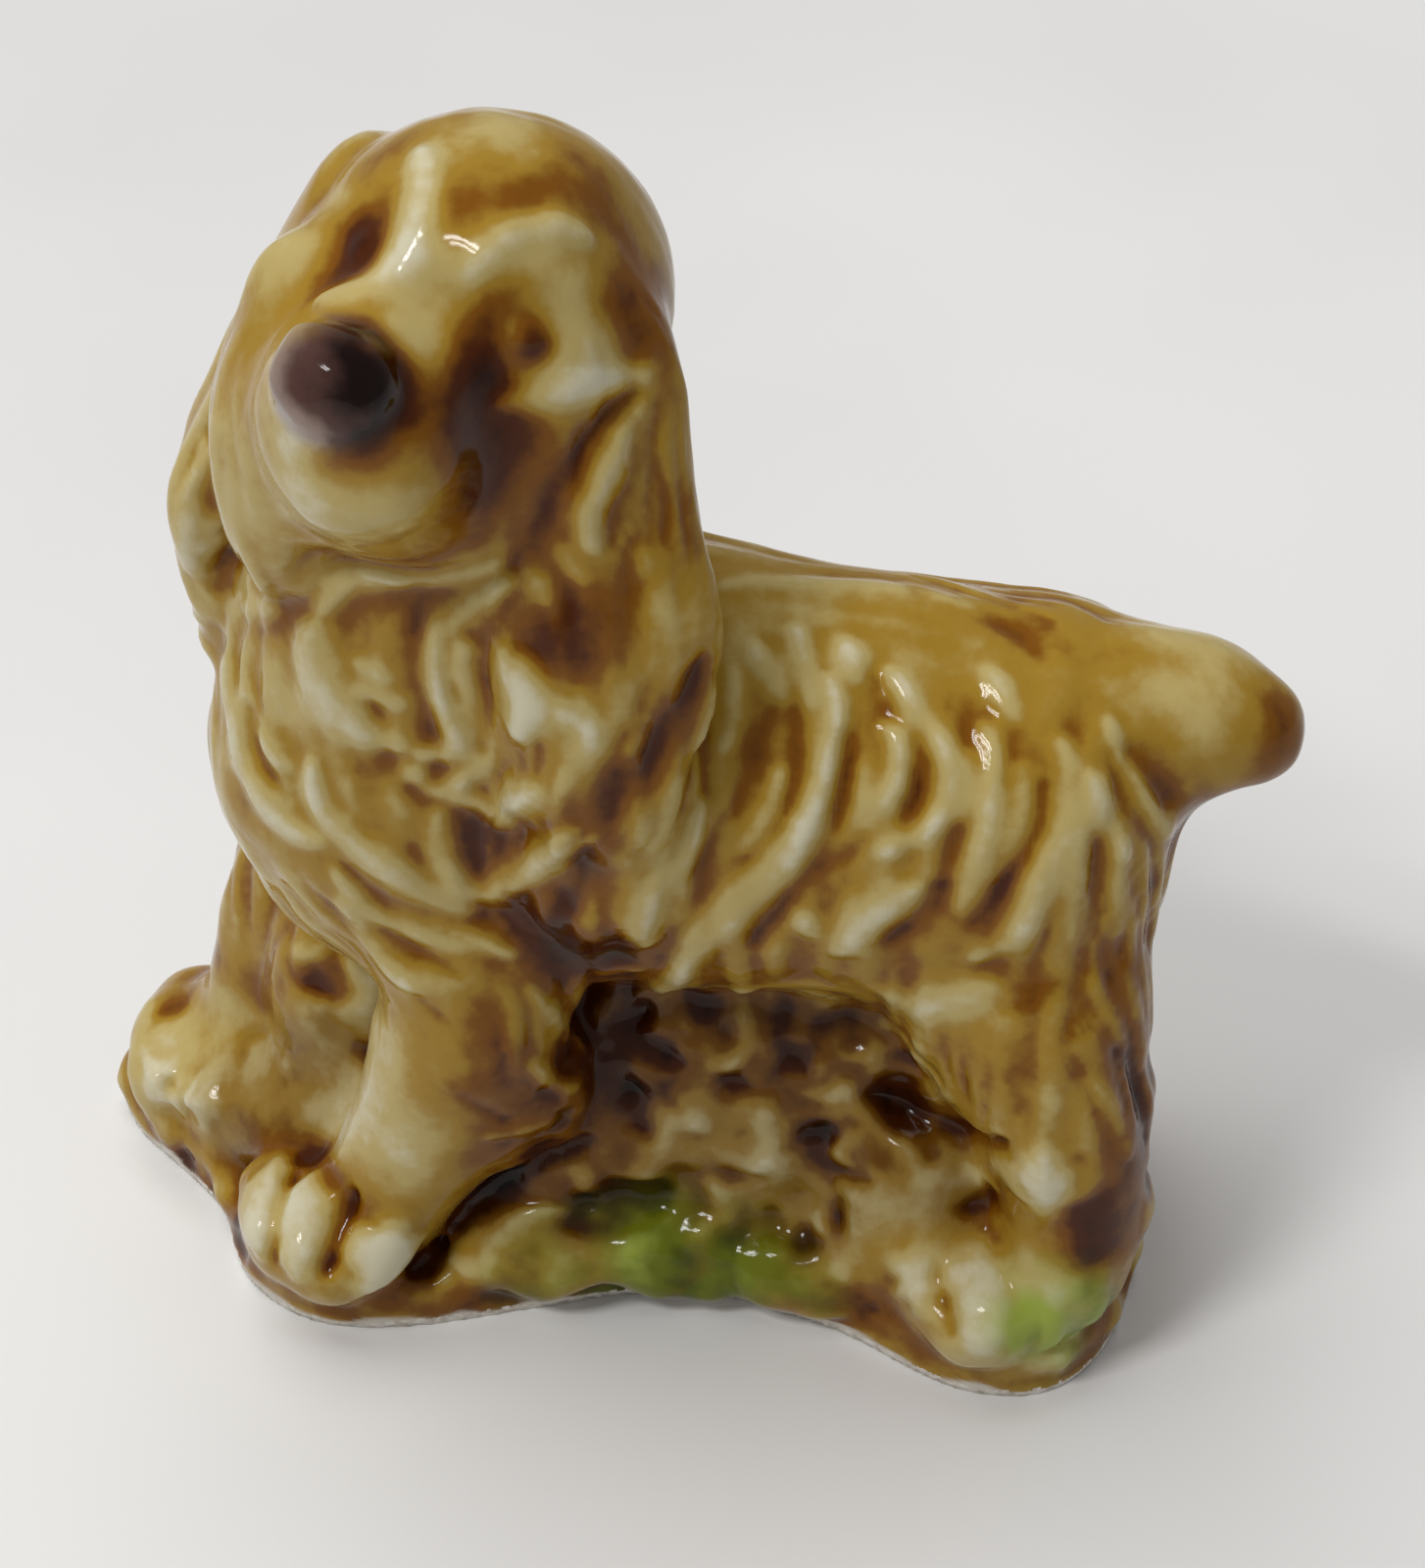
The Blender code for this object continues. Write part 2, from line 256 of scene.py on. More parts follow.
def curved(points):
    """More points on a smooth curve through points."""
    points = [Vector(point) for point in points]
    if len(points) < 3:
        return [points[0], (points[0] + points[-1]) / 2, points[-1]]
    run = [points[0] * 2 - points[1], *points, points[-1] * 2 - points[-2]]
    drawn = []
    for a, b, c, d in zip(run, run[1:], run[2:], run[3:]):
        for t in (0.0, 0.34, 0.67):
            square, cube = 2 * a - 5 * b + 4 * c - d, 3 * b - a - 3 * c + d
            drawn.append(0.5 * (2 * b + (c - a) * t + square * t**2 + cube * t**3))
    return [*drawn, points[-1]]


def reach(width, points, blunt=False):
    """The vertices near a stroke through points, and their nearness: 1 on its middle line,
    less toward its edges and its tapered ends, and 0 on skin that faces another way."""
    hits = [finder.find(point)[1] for point in curved(points)]
    line = skin[hits]
    line[1:-1] = 0.5 * line[1:-1] + 0.25 * (line[:-2] + line[2:])
    facing = normal[hits]
    spread = width * 2.6
    low, high = line.min(0) - spread, line.max(0) + spread
    near = np.where(np.all((skin > low) & (skin < high), axis=1))[0]
    best = np.full(len(near), 1e9)
    along = np.zeros(len(near))
    face = np.zeros((len(near), 3))
    steps = np.linalg.norm(np.diff(line, axis=0), axis=1)
    passed = 0.0
    for k, step in enumerate(steps):
        way = line[k + 1] - line[k]
        share = np.clip(((skin[near] - line[k]) @ way) / max(step * step, 1e-9), 0, 1)
        gap = np.linalg.norm(skin[near] - line[k] - share[:, None] * way, axis=1)
        closer = gap < best
        best[closer] = gap[closer]
        along[closer] = (passed + share[closer] * step) / max(steps.sum(), 1e-6)
        mixed = facing[k] + share[:, None] * (facing[k + 1] - facing[k])
        face[closer] = mixed[closer]
        passed += step
    fullness = np.sqrt(np.clip(np.sin(np.pi * along), 0, 1))
    taper = np.ones(len(near)) if blunt else 0.45 + 0.55 * fullness
    close = np.exp(-((best / (width * taper)) ** 2))
    same_side = np.clip(np.einsum("ij,ij->i", normal[near], face) * 1.6, 0, 1)
    return near, close * same_side * (0.6 + 0.4 * taper)


def lock(width, strength, points):
    """A raised lock of hair, a toe or a fold: the glaze runs off it and leaves it cream."""
    near, close = reach(width * 0.85, points)
    rise[near] += LOCK_RIDGE * strength * min(1.6, (width / USUAL_WIDTH) ** 0.7) * close
    tone[near] -= 0.3 * strength * close


def parting(width, strength, points):
    """A groove between locks, where the glaze runs in and fires dark."""
    near, close = reach(width * 0.85, points)
    rise[near] -= LOCK_PARTING * strength * min(1.5, (width / USUAL_WIDTH) ** 0.7) * close
    tone[near] += 0.15 * strength * close


def pool_and_shade(width, strength, points):
    """A thick patch of glaze, and in a few places painted shade."""
    near, close = reach(width * 0.9, points, blunt=True)
    tone[near] += 0.4 * strength * close


def thin(width, strength, points):
    """A patch where the glaze is thin and the cream clay shows."""
    near, close = reach(width * 0.9, points, blunt=True)
    tone[near] -= 0.34 * strength * close


def comb(points):
    """Lays the hair round a stroke along it."""
    for start, end in zip(points, points[1:]):
        middle = (Vector(start) + Vector(end)) / 2
        way = Vector(end) - Vector(start)
        if way.z > 0:
            way = -way
        gap2 = ((skin - np.array(middle)) ** 2).sum(1)
        flow[:] += np.exp(-gap2 / COMBED_AREA)[:, None] * np.array(way)


def hair(locks=(), partings=(), pools_and_shade=(), thins=(), both_sides=False):
    """Strokes of the modelling tool and of the glaze brush, a few of them painted shade: width in
    mm and strength, then points in mm."""
    for work, strokes in ((lock, locks), (parting, partings), (pool_and_shade, pools_and_shade), (thin, thins)):
        for width, strength, *points in strokes:
            work(width, strength, points)
            if work in (lock, parting):
                comb(points)
            far = [(-x, y, z) for x, y, z in points if z < FAR_SIDE_TOP]
            if both_sides and len(far) > 1 and max(x for x, y, z in far) < -0.8:
                work(width, strength * FAR_SIDE_SHARE, far)
                if work in (lock, parting):
                    comb(far)


def broad_glaze_and_shade(centre, radii, amount):
    """Deepens or lightens the glaze colour over a broad part: glaze lying deeper or thinner, and
    in places painted shade and painted light.
    """
    tone[:] += amount * ball(centre, radii, 0.45)


def form(centre, radius, height, colour=0.0):
    """A broad swelling or hollow of the clay, with the glaze it holds."""
    close = np.exp(-((skin - np.array(centre)) ** 2).sum(1) / radius**2)
    rise[:] += height * close
    tone[:] += colour * close


form((2.0, 15.6, 18.2), 3.0, -0.5)  # the back of the rump is drawn in under the tail
form((-2.0, 15.6, 18.2), 3.0, -0.5)
form((0.0, 15.4, 15.2), 3.4, -0.5)
broad_glaze_and_shade((0.5, 4.0, 25.4), (4.5, 9.5, 2.2), -0.08)
hair(
    locks=(
        (0.54, 0.8, (2.3, 2.9, 25.1), (2.7, 3.5, 24.6), (3.2, 3.8, 24.2)),
        (0.46, 0.8, (1.4, 4.1, 25.2), (2.3, 4.4, 24.7), (3.2, 4.7, 24)),
        (0.69, 0.7, (1.7, 5.4, 24.9), (2.4, 5.9, 24.4)),
        (0.61, 1, (2.6, 5.2, 24.3), (3.4, 5.4, 23.5), (4.2, 5.2, 22.4), (4.9, 4.8, 21),
         (5.3, 3.8, 19.6), (5.4, 2.6, 18.1), (5.1, 1.7, 16.7), (4.6, 1, 15.2), (2.2, -0.3, 11.8)),
        (0.38, 0.8, (4.3, 3.9, 22.7), (4.7, 3.8, 22), (5.1, 3.4, 21.2), (5.2, 2.9, 20.5)),
        (0.84, 1, (5, 1.3, 21.9), (5.3, 1.1, 21), (5.5, 0.5, 19.9), (5.5, 0.1, 18.6),
         (5.4, 0.2, 17.3)),
        (0.54, 1, (2.2, 6.7, 24.4), (2.8, 7.4, 23.9), (3.5, 8.2, 23.2), (4, 8.7, 22.7),
         (4.6, 8.6, 21.7), (4.9, 7.8, 21), (5.1, 6.9, 20.6)),
        (0.46, 0.9, (3.3, 6.8, 23.5), (3.7, 7.1, 23.1), (4.1, 7.3, 22.6), (4.4, 7, 22.2),
         (4.6, 6.8, 21.7)),
        (0.61, 1, (3.2, 9.4, 23.5), (4, 9.8, 22.6), (4.6, 9.8, 21.6), (5, 9.6, 20.9),
         (5.2, 9.2, 20), (5.4, 9.1, 18.9)),
        (0.69, 1, (3.3, 11.6, 23.2), (4, 12, 22.4), (4.6, 12, 21.5), (5.1, 11.6, 20.4),
         (5.4, 11.2, 19.2), (5.5, 10.5, 18.1), (5.3, 9.7, 17.2)),
        (0.54, 0.8, (3.7, 12.4, 22.5), (4.2, 12.9, 21.5), (4.4, 13.5, 20.3)),
        (0.46, 0.8, (2.5, 12.9, 23.3), (3.2, 13.5, 22.2), (3.3, 14.3, 20.9), (3, 15, 19.9)),
        (0.46, 0.7, (1.8, 9.5, 24.3), (2.4, 10, 24), (2.9, 10.4, 23.6)),
        (0.84, 1, (5.3, 7.8, 19.4), (5.4, 6.9, 18.7), (5.3, 6.2, 17.8), (5.2, 5.8, 17)),
        (0.54, 0.8, (5.3, 4.5, 18.4), (5.2, 5, 17.5)),
        (0.46, 0.7, (5.5, 2, 26.3), (5.6, 1.8, 25.4), (6, 1.6, 24.6)),
        (0.38, 0.6, (2.9, 2.5, 24.7), (3.5, 2.6, 24.1), (4, 2.5, 23.5), (4.3, 2.2, 23.2)),
        (0.46, 0.8, (4.4, -1.2, 14.8), (4.7, -0.6, 15.4), (4.7, -0.1, 15.5)),
        (0.34, 0.6, (2.2, 0.7, 12), (3.9, 2.9, 14.2), (3.7, 5, 13.9), (2, 6.1, 11.7)),
        (0.38, 0.7, (4.4, 4.8, 22.2), (4.8, 4.6, 21.4), (5.1, 4, 20.6), (5.3, 3.2, 19.8),
         (5.5, 2.3, 18.8), (5.3, 1.3, 17.2)),
        (0.38, 0.6, (3.7, 9, 23), (4.2, 9.2, 22.3), (4.7, 9.1, 21.6)),
        (0.38, 0.5, (3.8, 10.5, 22.8), (4.4, 10.7, 21.9), (5, 10.5, 20.9), (5.2, 10, 20)),
        (0.38, 0.5, (4.1, 6.2, 22.7), (4.5, 6.2, 22), (4.8, 5.9, 21.3), (5, 5.5, 20.6)),
        (0.92, 0.7, (4.6, 7.1, 15.1), (4.4, 8.1, 14.5), (5.4, 9.4, 15.6), (5.5, 10.1, 16)),
        (0.26, 0.6, (0.7, 1.9, 25.9), (-0.2, 3.6, 25.5), (-0.5, 5.9, 25.3), (-0.4, 7.4, 25.2),
         (-0.1, 9.2, 24.8)),
    ),
    partings=(
        (0.35, 0.6, (3.5, 3.5, 23.9), (4.1, 3.3, 23.2), (4.6, 2.9, 22.4), (5, 2.7, 21.5)),
        (0.35, 0.6, (3.3, 4.2, 24), (3.9, 4.4, 23.2), (4.5, 4.3, 22.2), (4.8, 4.1, 21.6)),
        (0.47, 0.75, (3.5, 5.7, 23.3), (4.2, 5.7, 22.4), (4.8, 5.4, 21.2), (5.2, 4.8, 19.8),
         (5.3, 4, 18.3), (5.2, 3.3, 16.8)),
        (0.65, 0.75, (5.3, 8.8, 19.6), (5.4, 8, 18.4), (5.3, 7.1, 17.4)),
        (0.35, 0.6, (4.8, 8.9, 21.4), (5.1, 8.7, 20.4), (5.3, 8.3, 19.4)),
        (0.38, 0.75, (4.1, 11.2, 22.4), (4.7, 11.2, 21.5), (5.1, 10.8, 20.7), (5.3, 10.4, 19.8),
         (5.4, 9.5, 18.3)),
        (0.47, 0.6, (4.5, 12.6, 21.1), (4.9, 12.9, 19.6), (4.9, 13.2, 17.5), (5.1, 13.4, 16)),
        (0.26, 0.52, (5, 6.5, 21), (5.1, 6, 20.4), (5.2, 5.2, 19.8)),
        (0.29, 0.45, (4, 7.5, 22.7), (4.4, 7.7, 22), (4.8, 7.3, 21.4)),
        (0.71, 0.75, (2.8, 13.5, 22.7), (3, 14.2, 21.8), (2.7, 15, 20.9)),
        (0.29, 0.52, (5.5, 1.4, 19.6), (5.3, 1.9, 20.6), (5, 2.4, 21.5)),
        (0.29, 0.52, (5, 0.7, 16.3), (4.6, 0.4, 15.1), (2, -0.3, 12)),
        (0.35, 0.45, (0.2, 9.5, 24.7), (0.5, 10.4, 24.6), (1.4, 10.9, 24.4)),
        (0.26, 0.68, (-0.5, 7.1, 25.2), (-0.3, 7.7, 25.1)),
    ),
    pools_and_shade=(
        (0.29, 1, (3.7, 14.6, 18.5), (3.6, 14.8, 18.3)),
        (0.76, 0.35, (1, 5.9, 25.2), (0.9, 7, 25.1), (1.1, 8.2, 24.9)),
        (1, 0.35, (0.2, 9.5, 24.7), (0.9, 11.5, 24.4)),
    ),
    thins=(
        (2.35, 0.18, (1.7, 2.7, 25.4), (1, 6.5, 25.2), (1.3, 9.3, 24.6)),
    ),
    both_sides=True,
)


def srgb(code):
    """A hex colour as linear RGBA."""
    parts = [int(code[at : at + 2], 16) / 255 for at in (1, 3, 5)]
    linear = [p / 12.92 if p <= 0.04045 else ((p + 0.055) / 1.055) ** 2.4 for p in parts]
    return (*linear, 1.0)


def set_inputs(tree, node, **inputs):
    """Sets a node's inputs to values, or links them to sockets."""
    for key, value in inputs.items():
        numbered = key[0] == "i" and key[1:].isdigit()
        socket = node.inputs[int(key[1:])] if numbered else node.inputs[key.replace("_", " ")]
        if isinstance(value, bpy.types.NodeSocket):
            tree.links.new(value, socket)
        else:
            socket.default_value = value
    return node


def add_node(tree, kind, settings=None, **inputs):
    node = tree.nodes.new(kind)
    for key, value in (settings or {}).items():
        setattr(node, key, value)
    return set_inputs(tree, node, **inputs)


def new_material(name):
    """A material, its node tree, its shader and the object's own coordinates."""
    material = bpy.data.materials.new(name)
    material.use_nodes = True
    tree = material.node_tree
    place = add_node(tree, "ShaderNodeTexCoord").outputs["Object"]
    return material, tree, tree.nodes["Principled BSDF"], place


def add_ramp(tree, level, stops):
    """A colour ramp through (place, hex colour) stops."""
    ramp = add_node(tree, "ShaderNodeValToRGB", Fac=level)
    ramp.color_ramp.interpolation = "EASE"
    while len(ramp.color_ramp.elements) < len(stops):
        ramp.color_ramp.elements.new(0.5)
    for at, (place, code) in enumerate(stops):
        ramp.color_ramp.elements[at].position = place
    for at, (place, code) in enumerate(stops):
        ramp.color_ramp.elements[at].color = srgb(code)
    return ramp.outputs["Color"]


HONEY = (
    (0.06, "#CBC4A8"),
    (0.25, "#B39F64"),
    (0.44, "#9A7826"),
    (0.62, "#774806"),
    (0.80, "#471D00"),
    (1.0, "#160400"),
)
BANK = (
    (0.06, "#C0B89C"),
    (0.25, "#A39263"),
    (0.44, "#886A2C"),
    (0.62, "#623E0C"),
    (0.80, "#381704"),
    (1.0, "#120300"),
)
MOSS = ((0.15, "#98A544"), (0.55, "#666E14"), (0.95, "#2C3008"))
LEATHER = ((0.24, "#8A766B"), (0.5, "#4E352F"), (0.78, "#150604"))


def glazed(name, mottle):
    """Honey glaze fired on cream porcelain: glossy, cream where it is thin and dark brown
    where it lies deep, with soft clouds some 2 mm across and curdling about 0.5 mm across.
    The depth it reads carries painted shade in places.
    It is greyer on the shaded bank. Underglaze green and nose brown lie beneath it, and
    chipped rims show the clay."""
    material, tree, shader, place = new_material(name)

    def painted(layer):
        return add_node(tree, "ShaderNodeAttribute", {"attribute_name": layer}).outputs["Fac"]

    def worked(operation, a, b, c=0.0):
        settings = {"operation": operation}
        return add_node(tree, "ShaderNodeMath", settings, i0=a, i1=b, i2=c).outputs[0]

    def laid_over(share, under, over):
        mix = add_node(tree, "ShaderNodeMix", {"data_type": "RGBA"}, i0=share, i6=under, i7=over)
        return mix.outputs[2]

    def mottled(scale, detail, uneven):
        kind = "ShaderNodeTexNoise"
        texture = add_node(tree, kind, Vector=place, Scale=scale, Detail=detail, Roughness=uneven)
        return texture.outputs["Fac"]

    cloud = mottled(420.0, 3.0, 0.55)
    curd = mottled(2100.0, 2.0, 0.6)
    clouds = worked("MULTIPLY_ADD", cloud, mottle * 2, -mottle)
    curds = worked("MULTIPLY_ADD", curd, 0.12, -0.06)
    level = worked("ADD", worked("ADD", painted("glaze_depth"), clouds), curds)
    colour = laid_over(painted("bank"), add_ramp(tree, level, HONEY), add_ramp(tree, level, BANK))
    colour = laid_over(painted("moss"), colour, add_ramp(tree, level, MOSS))
    colour = laid_over(painted("nose_leather"), colour, add_ramp(tree, level, LEATHER))
    chipped = painted("bare_clay")
    colour = laid_over(chipped, colour, srgb("#CFC8BE"))
    # the faint orange peel of a fired glaze, about 0.7 mm across
    peel = mottled(1500.0, 2.0, 0.5)
    bump = add_node(tree, "ShaderNodeBump", Strength=0.1, Distance=0.12 * MM, Height=peel)
    gloss = worked("MULTIPLY_ADD", cloud, 0.10, 0.06)
    gloss = worked("MULTIPLY_ADD", chipped, 0.6, gloss)
    set_inputs(tree, shader, Base_Color=colour, Normal=bump.outputs["Normal"], Roughness=gloss)
    set_inputs(tree, shader, IOR=1.47, Specular_IOR_Level=0.22)
    return material


coat_glaze = glazed("honey_glaze_on_cream_porcelain", 0.16)


def start_piece(node, material):
    """The object that carries one mass's glazed surface. The firing fills its mesh."""
    mesh = bpy.data.meshes.new(node + "_glazed")
    mesh.materials.append(material)
    piece = bpy.data.objects.new(node + "_glazed", mesh)
    bpy.context.scene.collection.objects.link(piece)
    return piece


torso = start_piece("torso", coat_glaze)
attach(torso, "root")
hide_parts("torso")

# The ruff: the deep bib of wavy hair on the chest and throat, pressed with the torso. Its
# locks sweep down and round to the forelegs, cream on their crests and honey between.
broad_glaze_and_shade((3.0, -11.0, 22.5), (6.0, 4.5, 8.0), -0.17)
hair(
    locks=(
        (1, 1.2, (5.2, -8.5, 27.6), (5.3, -8.7, 26.5), (5.7, -7.8, 25), (6, -6.6, 24.3)),
        (0.41, 0.72, (5.8, -7.4, 26.9), (6, -6.5, 26.6)),
        (0.41, 0.72, (5.8, -7.4, 26), (6, -6.1, 25.8)),
        (0.65, 1.2, (6.3, -3.1, 30.4), (5.9, -5, 28.1), (5.9, -5.3, 26.8), (5.8, -4.8, 25.3),
         (5.9, -5, 24.3), (6, -5.7, 24)),
        (0.71, 1.2, (5.8, -4.3, 27.9), (5.8, -4.2, 26.7), (5.5, -3.7, 25), (5.5, -4, 23.8),
         (5.8, -5, 23.1)),
        (0.71, 1.08, (6.9, -3.1, 28.2), (7.2, -2.6, 27), (7.1, -2.9, 25.7)),
        (0.71, 1.08, (5.9, -5.5, 22.7), (5.6, -4.4, 22.4), (4.9, -3.5, 22.3), (7.4, -2.5, 24)),
        (0.65, 1.08, (5.9, -5.5, 21.8), (5.8, -5.7, 20.4), (5.7, -5.2, 19.2), (5.2, -4.2, 18.7),
         (5.5, -3, 20), (7.7, -1.6, 22.6)),
        (0.47, 0.84, (3.9, -10.8, 24.2), (4.5, -10.6, 23), (5.2, -9.6, 22.5)),
        (0.65, 1.08, (2.8, -11.5, 24.1), (3.6, -11.4, 23), (4.2, -11, 21.7), (5.1, -10.2, 20.7),
         (5.7, -8.9, 20.3)),
        (0.65, 1.08, (5.5, -8.9, 22.9), (5.6, -8.8, 21.5), (5.9, -7.8, 20.6), (5.9, -6.5, 19.4),
         (5.3, -4.9, 17.9)),
        (0.53, 0.96, (5.8, -8.5, 19.4), (5.6, -7.5, 17.7), (5.3, -5.7, 16.7), (4.7, -4, 16.2)),
        (0.47, 0.84, (5.6, -8.4, 18.2), (5.1, -7.4, 15.9), (5.7, -6.4, 15.1)),
        (0.53, 0.84, (3.2, -10.8, 26.4), (4.4, -9.5, 27.9)),
        (0.41, 0.72, (5.5, -3.2, 19.2), (7.4, -1.7, 21.6), (7.7, -0.9, 22.4)),
        (0.53, 0.84, (6, -6.3, 23.5), (5.9, -6, 23)),
        (0.59, 0.84, (5.1, -8.3, 28.3), (5.2, -7.4, 29.4), (5.6, -6, 29.9)),
    ),
    partings=(
        (0.47, 0.7, (4.1, -10.7, 23.7), (4.6, -10.5, 22.4), (5, -10, 21.8)),
        (0.47, 0.6, (5.6, -8.6, 23.1), (5.8, -8.3, 21.7), (5.9, -7.4, 20.8)),
        (0.53, 0.8, (5.8, -7.1, 25.6), (6, -6.5, 23.5), (6, -6, 22.2)),
        (0.35, 0.6, (5.9, -4.7, 26.7), (5.7, -4.4, 25.2)),
        (0.47, 1, (5.7, -3.8, 27.6), (5.6, -3.7, 26.1), (5.4, -3.6, 24.5)),
        (0.47, 0.5, (5.5, -7.3, 17), (5.6, -5.3, 15.6)),
        (0.41, 0.5, (5.9, -8.3, 19.7), (5.5, -6.7, 17.1)),
        (0.41, 0.5, (5.9, -6.4, 20.7), (5.8, -5.7, 19), (4.9, -4.6, 17.2)),
    ),
    pools_and_shade=(
        (0.76, 0.6, (3.8, -10.4, 26.4), (4.5, -9.6, 26.9)),
        (1.59, 0.55, (5.6, -4.7, 21.3), (5.1, -4.3, 20.5)),
        (1.76, 1.15, (5.4, -2.3, 17.3), (5, -1.6, 15.9)),
        (1.29, 0.5, (5.7, -6.6, 28.6), (5.9, -5.9, 27.2)),
        (0.88, 0.5, (4.1, -11.5, 20.3), (4.4, -11.2, 19.5)),
    ),
    thins=(
        (1.59, 0.21, (7.2, -2.1, 27.2), (7.2, -0.8, 26.7)),
        (0.59, 0.8, (4.9, -9.7, 24.7), (5, -9.6, 24.2)),
    ),
    both_sides=True,
)
ruff = start_piece("ruff", coat_glaze)
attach(ruff, "root")
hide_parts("ruff")

# The head: a smooth domed skull, cheeks and muzzle in one mass with the body. The eyes are
# shallow sockets with a bead of brown glaze in each, the brows and stop low swellings.

form((6.0, -2.4, 37.5), 1.3, -0.38, -0.2)  # left socket, and the pale bead round the pupil
form((6.15, -2.3, 37.45), 0.95, 0.0, -0.2)
form((6.15, -2.3, 37.45), 0.42, 0.36, 0.66)
form((4.3, -6.9, 39.0), 1.2, -0.42)  # right socket, seen past the bridge of the nose
form((4.4, -6.8, 38.9), 0.55, 0.3, 0.2)
form((6.5, -4.6, 38.2), 1.1, -0.3, -0.35)  # the stop above the nose
form((6.9, -3.2, 36.0), 1.3, -0.3)  # the hollow of the left cheek
form((6.9, -2.9, 34.3), 1.3, -0.15)
form((5.6, -1.3, 36.4), 1.0, 0.25, -0.1)  # cheekbone
form((5.0, -3.6, 39.6), 1.1, 0.2, -0.05)  # brow
form((7.9, -8.7, 35.2), 1.0, 0.0, 0.2)  # under the lip
form((8.9, -5.0, 37.2), 0.7, -0.1, 0.2)
broad_glaze_and_shade((7.0, -10.0, 34.0), (3.2, 2.6, 4.4), -0.16)
hair(
    locks=(
        (0.76, 0.7, (2.7, -5.4, 40.4), (4.1, -5.1, 40), (5.2, -5.4, 39.3), (6, -6.2, 38.5),
         (5.8, -7.5, 37.9)),
        (0.59, 0.6, (5.7, -3.9, 38.9), (5, -3.1, 39.5), (4.3, -2.2, 39.6), (3.9, -1.2, 39.1)),
        (0.47, 0.6, (6.7, -3.1, 36), (6.3, -2, 35.9), (5.6, -1.1, 36), (4.7, 0.4, 35.6)),
        (0.47, 0.6, (5.2, -6.8, 30.2), (5.6, -4.9, 30.4), (5.5, -3.4, 31.1)),
    ),
    partings=(
        (0.88, 0.12, (4.9, -0.4, 35.1), (6, -1.4, 34.1), (5.1, -2.5, 31.5)),
    ),
    pools_and_shade=(
        (1.18, 0.8, (4.1, -6.8, 39.1), (4.7, -6.9, 38.7)),
        (0.59, 0.8, (4.2, -6.8, 39), (4.5, -6.8, 38.9)),
        (0.88, 0.45, (4.5, -4.6, 39.9), (4.8, -3.3, 39.7), (3.4, -2.4, 40.1)),
        (0.88, 0.3, (2.1, -2.1, 40.2), (2.1, -1.2, 39.7)),
        (2.12, 0.34, (3.8, -0.5, 38.4), (4.2, -0.1, 37.3), (4.5, 0.4, 36.5)),
        # the side plane of the muzzle, between muzzle and cheek: glaze pooled in the crease, and
        # painted shade over the plane
        (1.29, 0.75, (5.8, -2.9, 38.5), (6.4, -3.6, 37.9), (6.9, -3.6, 36.8)),
        (1.65, 1.15, (7.6, -3.8, 36.2), (7.5, -3.7, 34.2), (7, -3, 34.8)),
        (0.76, 0.7, (6.1, -3.5, 38.3), (6.8, -3.6, 36.7)),
        (0.59, 1.3, (6.1, -2.4, 37.5), (6.1, -2.2, 37.3)),
        (1, 0.21, (5, -0.6, 34.9), (6, -1.4, 34), (5.1, -2.5, 31.5)),
        (0.71, 0.7, (9.2, -6.9, 35.8), (9.3, -5.9, 36.2)),
        (0.76, 0.5, (2.2, -10.6, 30.6), (2, -10.3, 29.4)),
        (0.65, 0.7, (8.3, -5.3, 37.6), (8.7, -5.3, 37.2)),
        # painted shadow under the jaw
        (1.18, 0.35, (5.5, -5.2, 31.4), (5.4, -3.8, 31.7)),
        (1.76, 0.42, (4.6, -4.1, 39.9), (4, -3.2, 40.1), (1.9, -2.1, 40.2)),
        (1.18, 0.3, (2.3, -6.3, 40), (3.1, -6.6, 39.8)),
        # more painted shade over the side plane of the muzzle
        (2.47, 0.5, (7.8, -3.8, 35.9), (7.8, -3.7, 34.7)),
    ),
    thins=(
        (0.88, 0.8, (3, -5.3, 40.4), (4.7, -5.1, 39.8), (5.4, -5.5, 39), (6.1, -6.9, 38.3)),
        (0.65, 0.7, (2.4, -7.7, 38.8), (3.4, -6.7, 39.6)),
        (1.06, 0.9, (3.5, -8.2, 37.7), (1.8, -9.3, 35.7), (2.1, -10.3, 33.9)),
        (0.88, 0.5, (1.9, -3.2, 40.5), (2.2, -2.8, 40.4)),
        (0.88, 0.8, (5.7, -3.9, 38.9), (5.1, -3.1, 39.4), (4.4, -2.2, 39.5), (4, -1.2, 39.1),
         (3.6, -0.5, 38.7)),
        (1.24, 0.9, (5.1, -2, 38.8), (5.2, -1.2, 37.9), (5.3, -0.7, 36.5), (5.6, -1.1, 36.1)),
        (0.59, 0.8, (6.7, -3.1, 36), (6.3, -2, 35.8), (5.6, -1.1, 36), (4.7, 0.4, 35.6)),
        (0.76, 0.5, (6.4, -2, 35.1), (6.8, -2.6, 34.2)),
        (0.35, 1, (6.2, -2.8, 37.8), (6.5, -2.9, 37), (6.4, -2.4, 36.5), (6, -1.7, 36.6)),
        (1.76, 0.45, (5.9, -4.6, 38.7), (6.2, -5.1, 38.5)),
        (0.82, 0.7, (7.1, -5.3, 38.2), (7.2, -4.7, 37.8)),
        (2.35, 0.5, (8.9, -7.9, 34.3), (9.1, -5.1, 34.4)),
        (0.47, 0.9, (8.6, -8, 35.7), (9.7, -7.3, 37.1)),
        (0.47, 0.8, (9.8, -6.7, 37.2), (9.6, -5.8, 37.4)),
        (0.59, 0.6, (2.8, -10, 29.4), (5.2, -6.8, 30.1), (5.6, -4.9, 30.4), (5.9, -3.2, 31.4)),
        (0.88, 0.5, (2.7, -5.4, 40.4), (4, -5.5, 40), (5, -5.4, 39.4)),
        (1.88, 0.55, (2.1, -11, 32.8), (2.2, -10.5, 30.8)),
        (1.47, 0.45, (8.9, -7.6, 35.8), (9.1, -7.2, 34.7)),
        (1.76, 0.3, (2, -4.4, 40.6), (1.5, -2.9, 40.5)),
    ),
)
head = start_piece("head", coat_glaze)
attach(head, "root")
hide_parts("head")

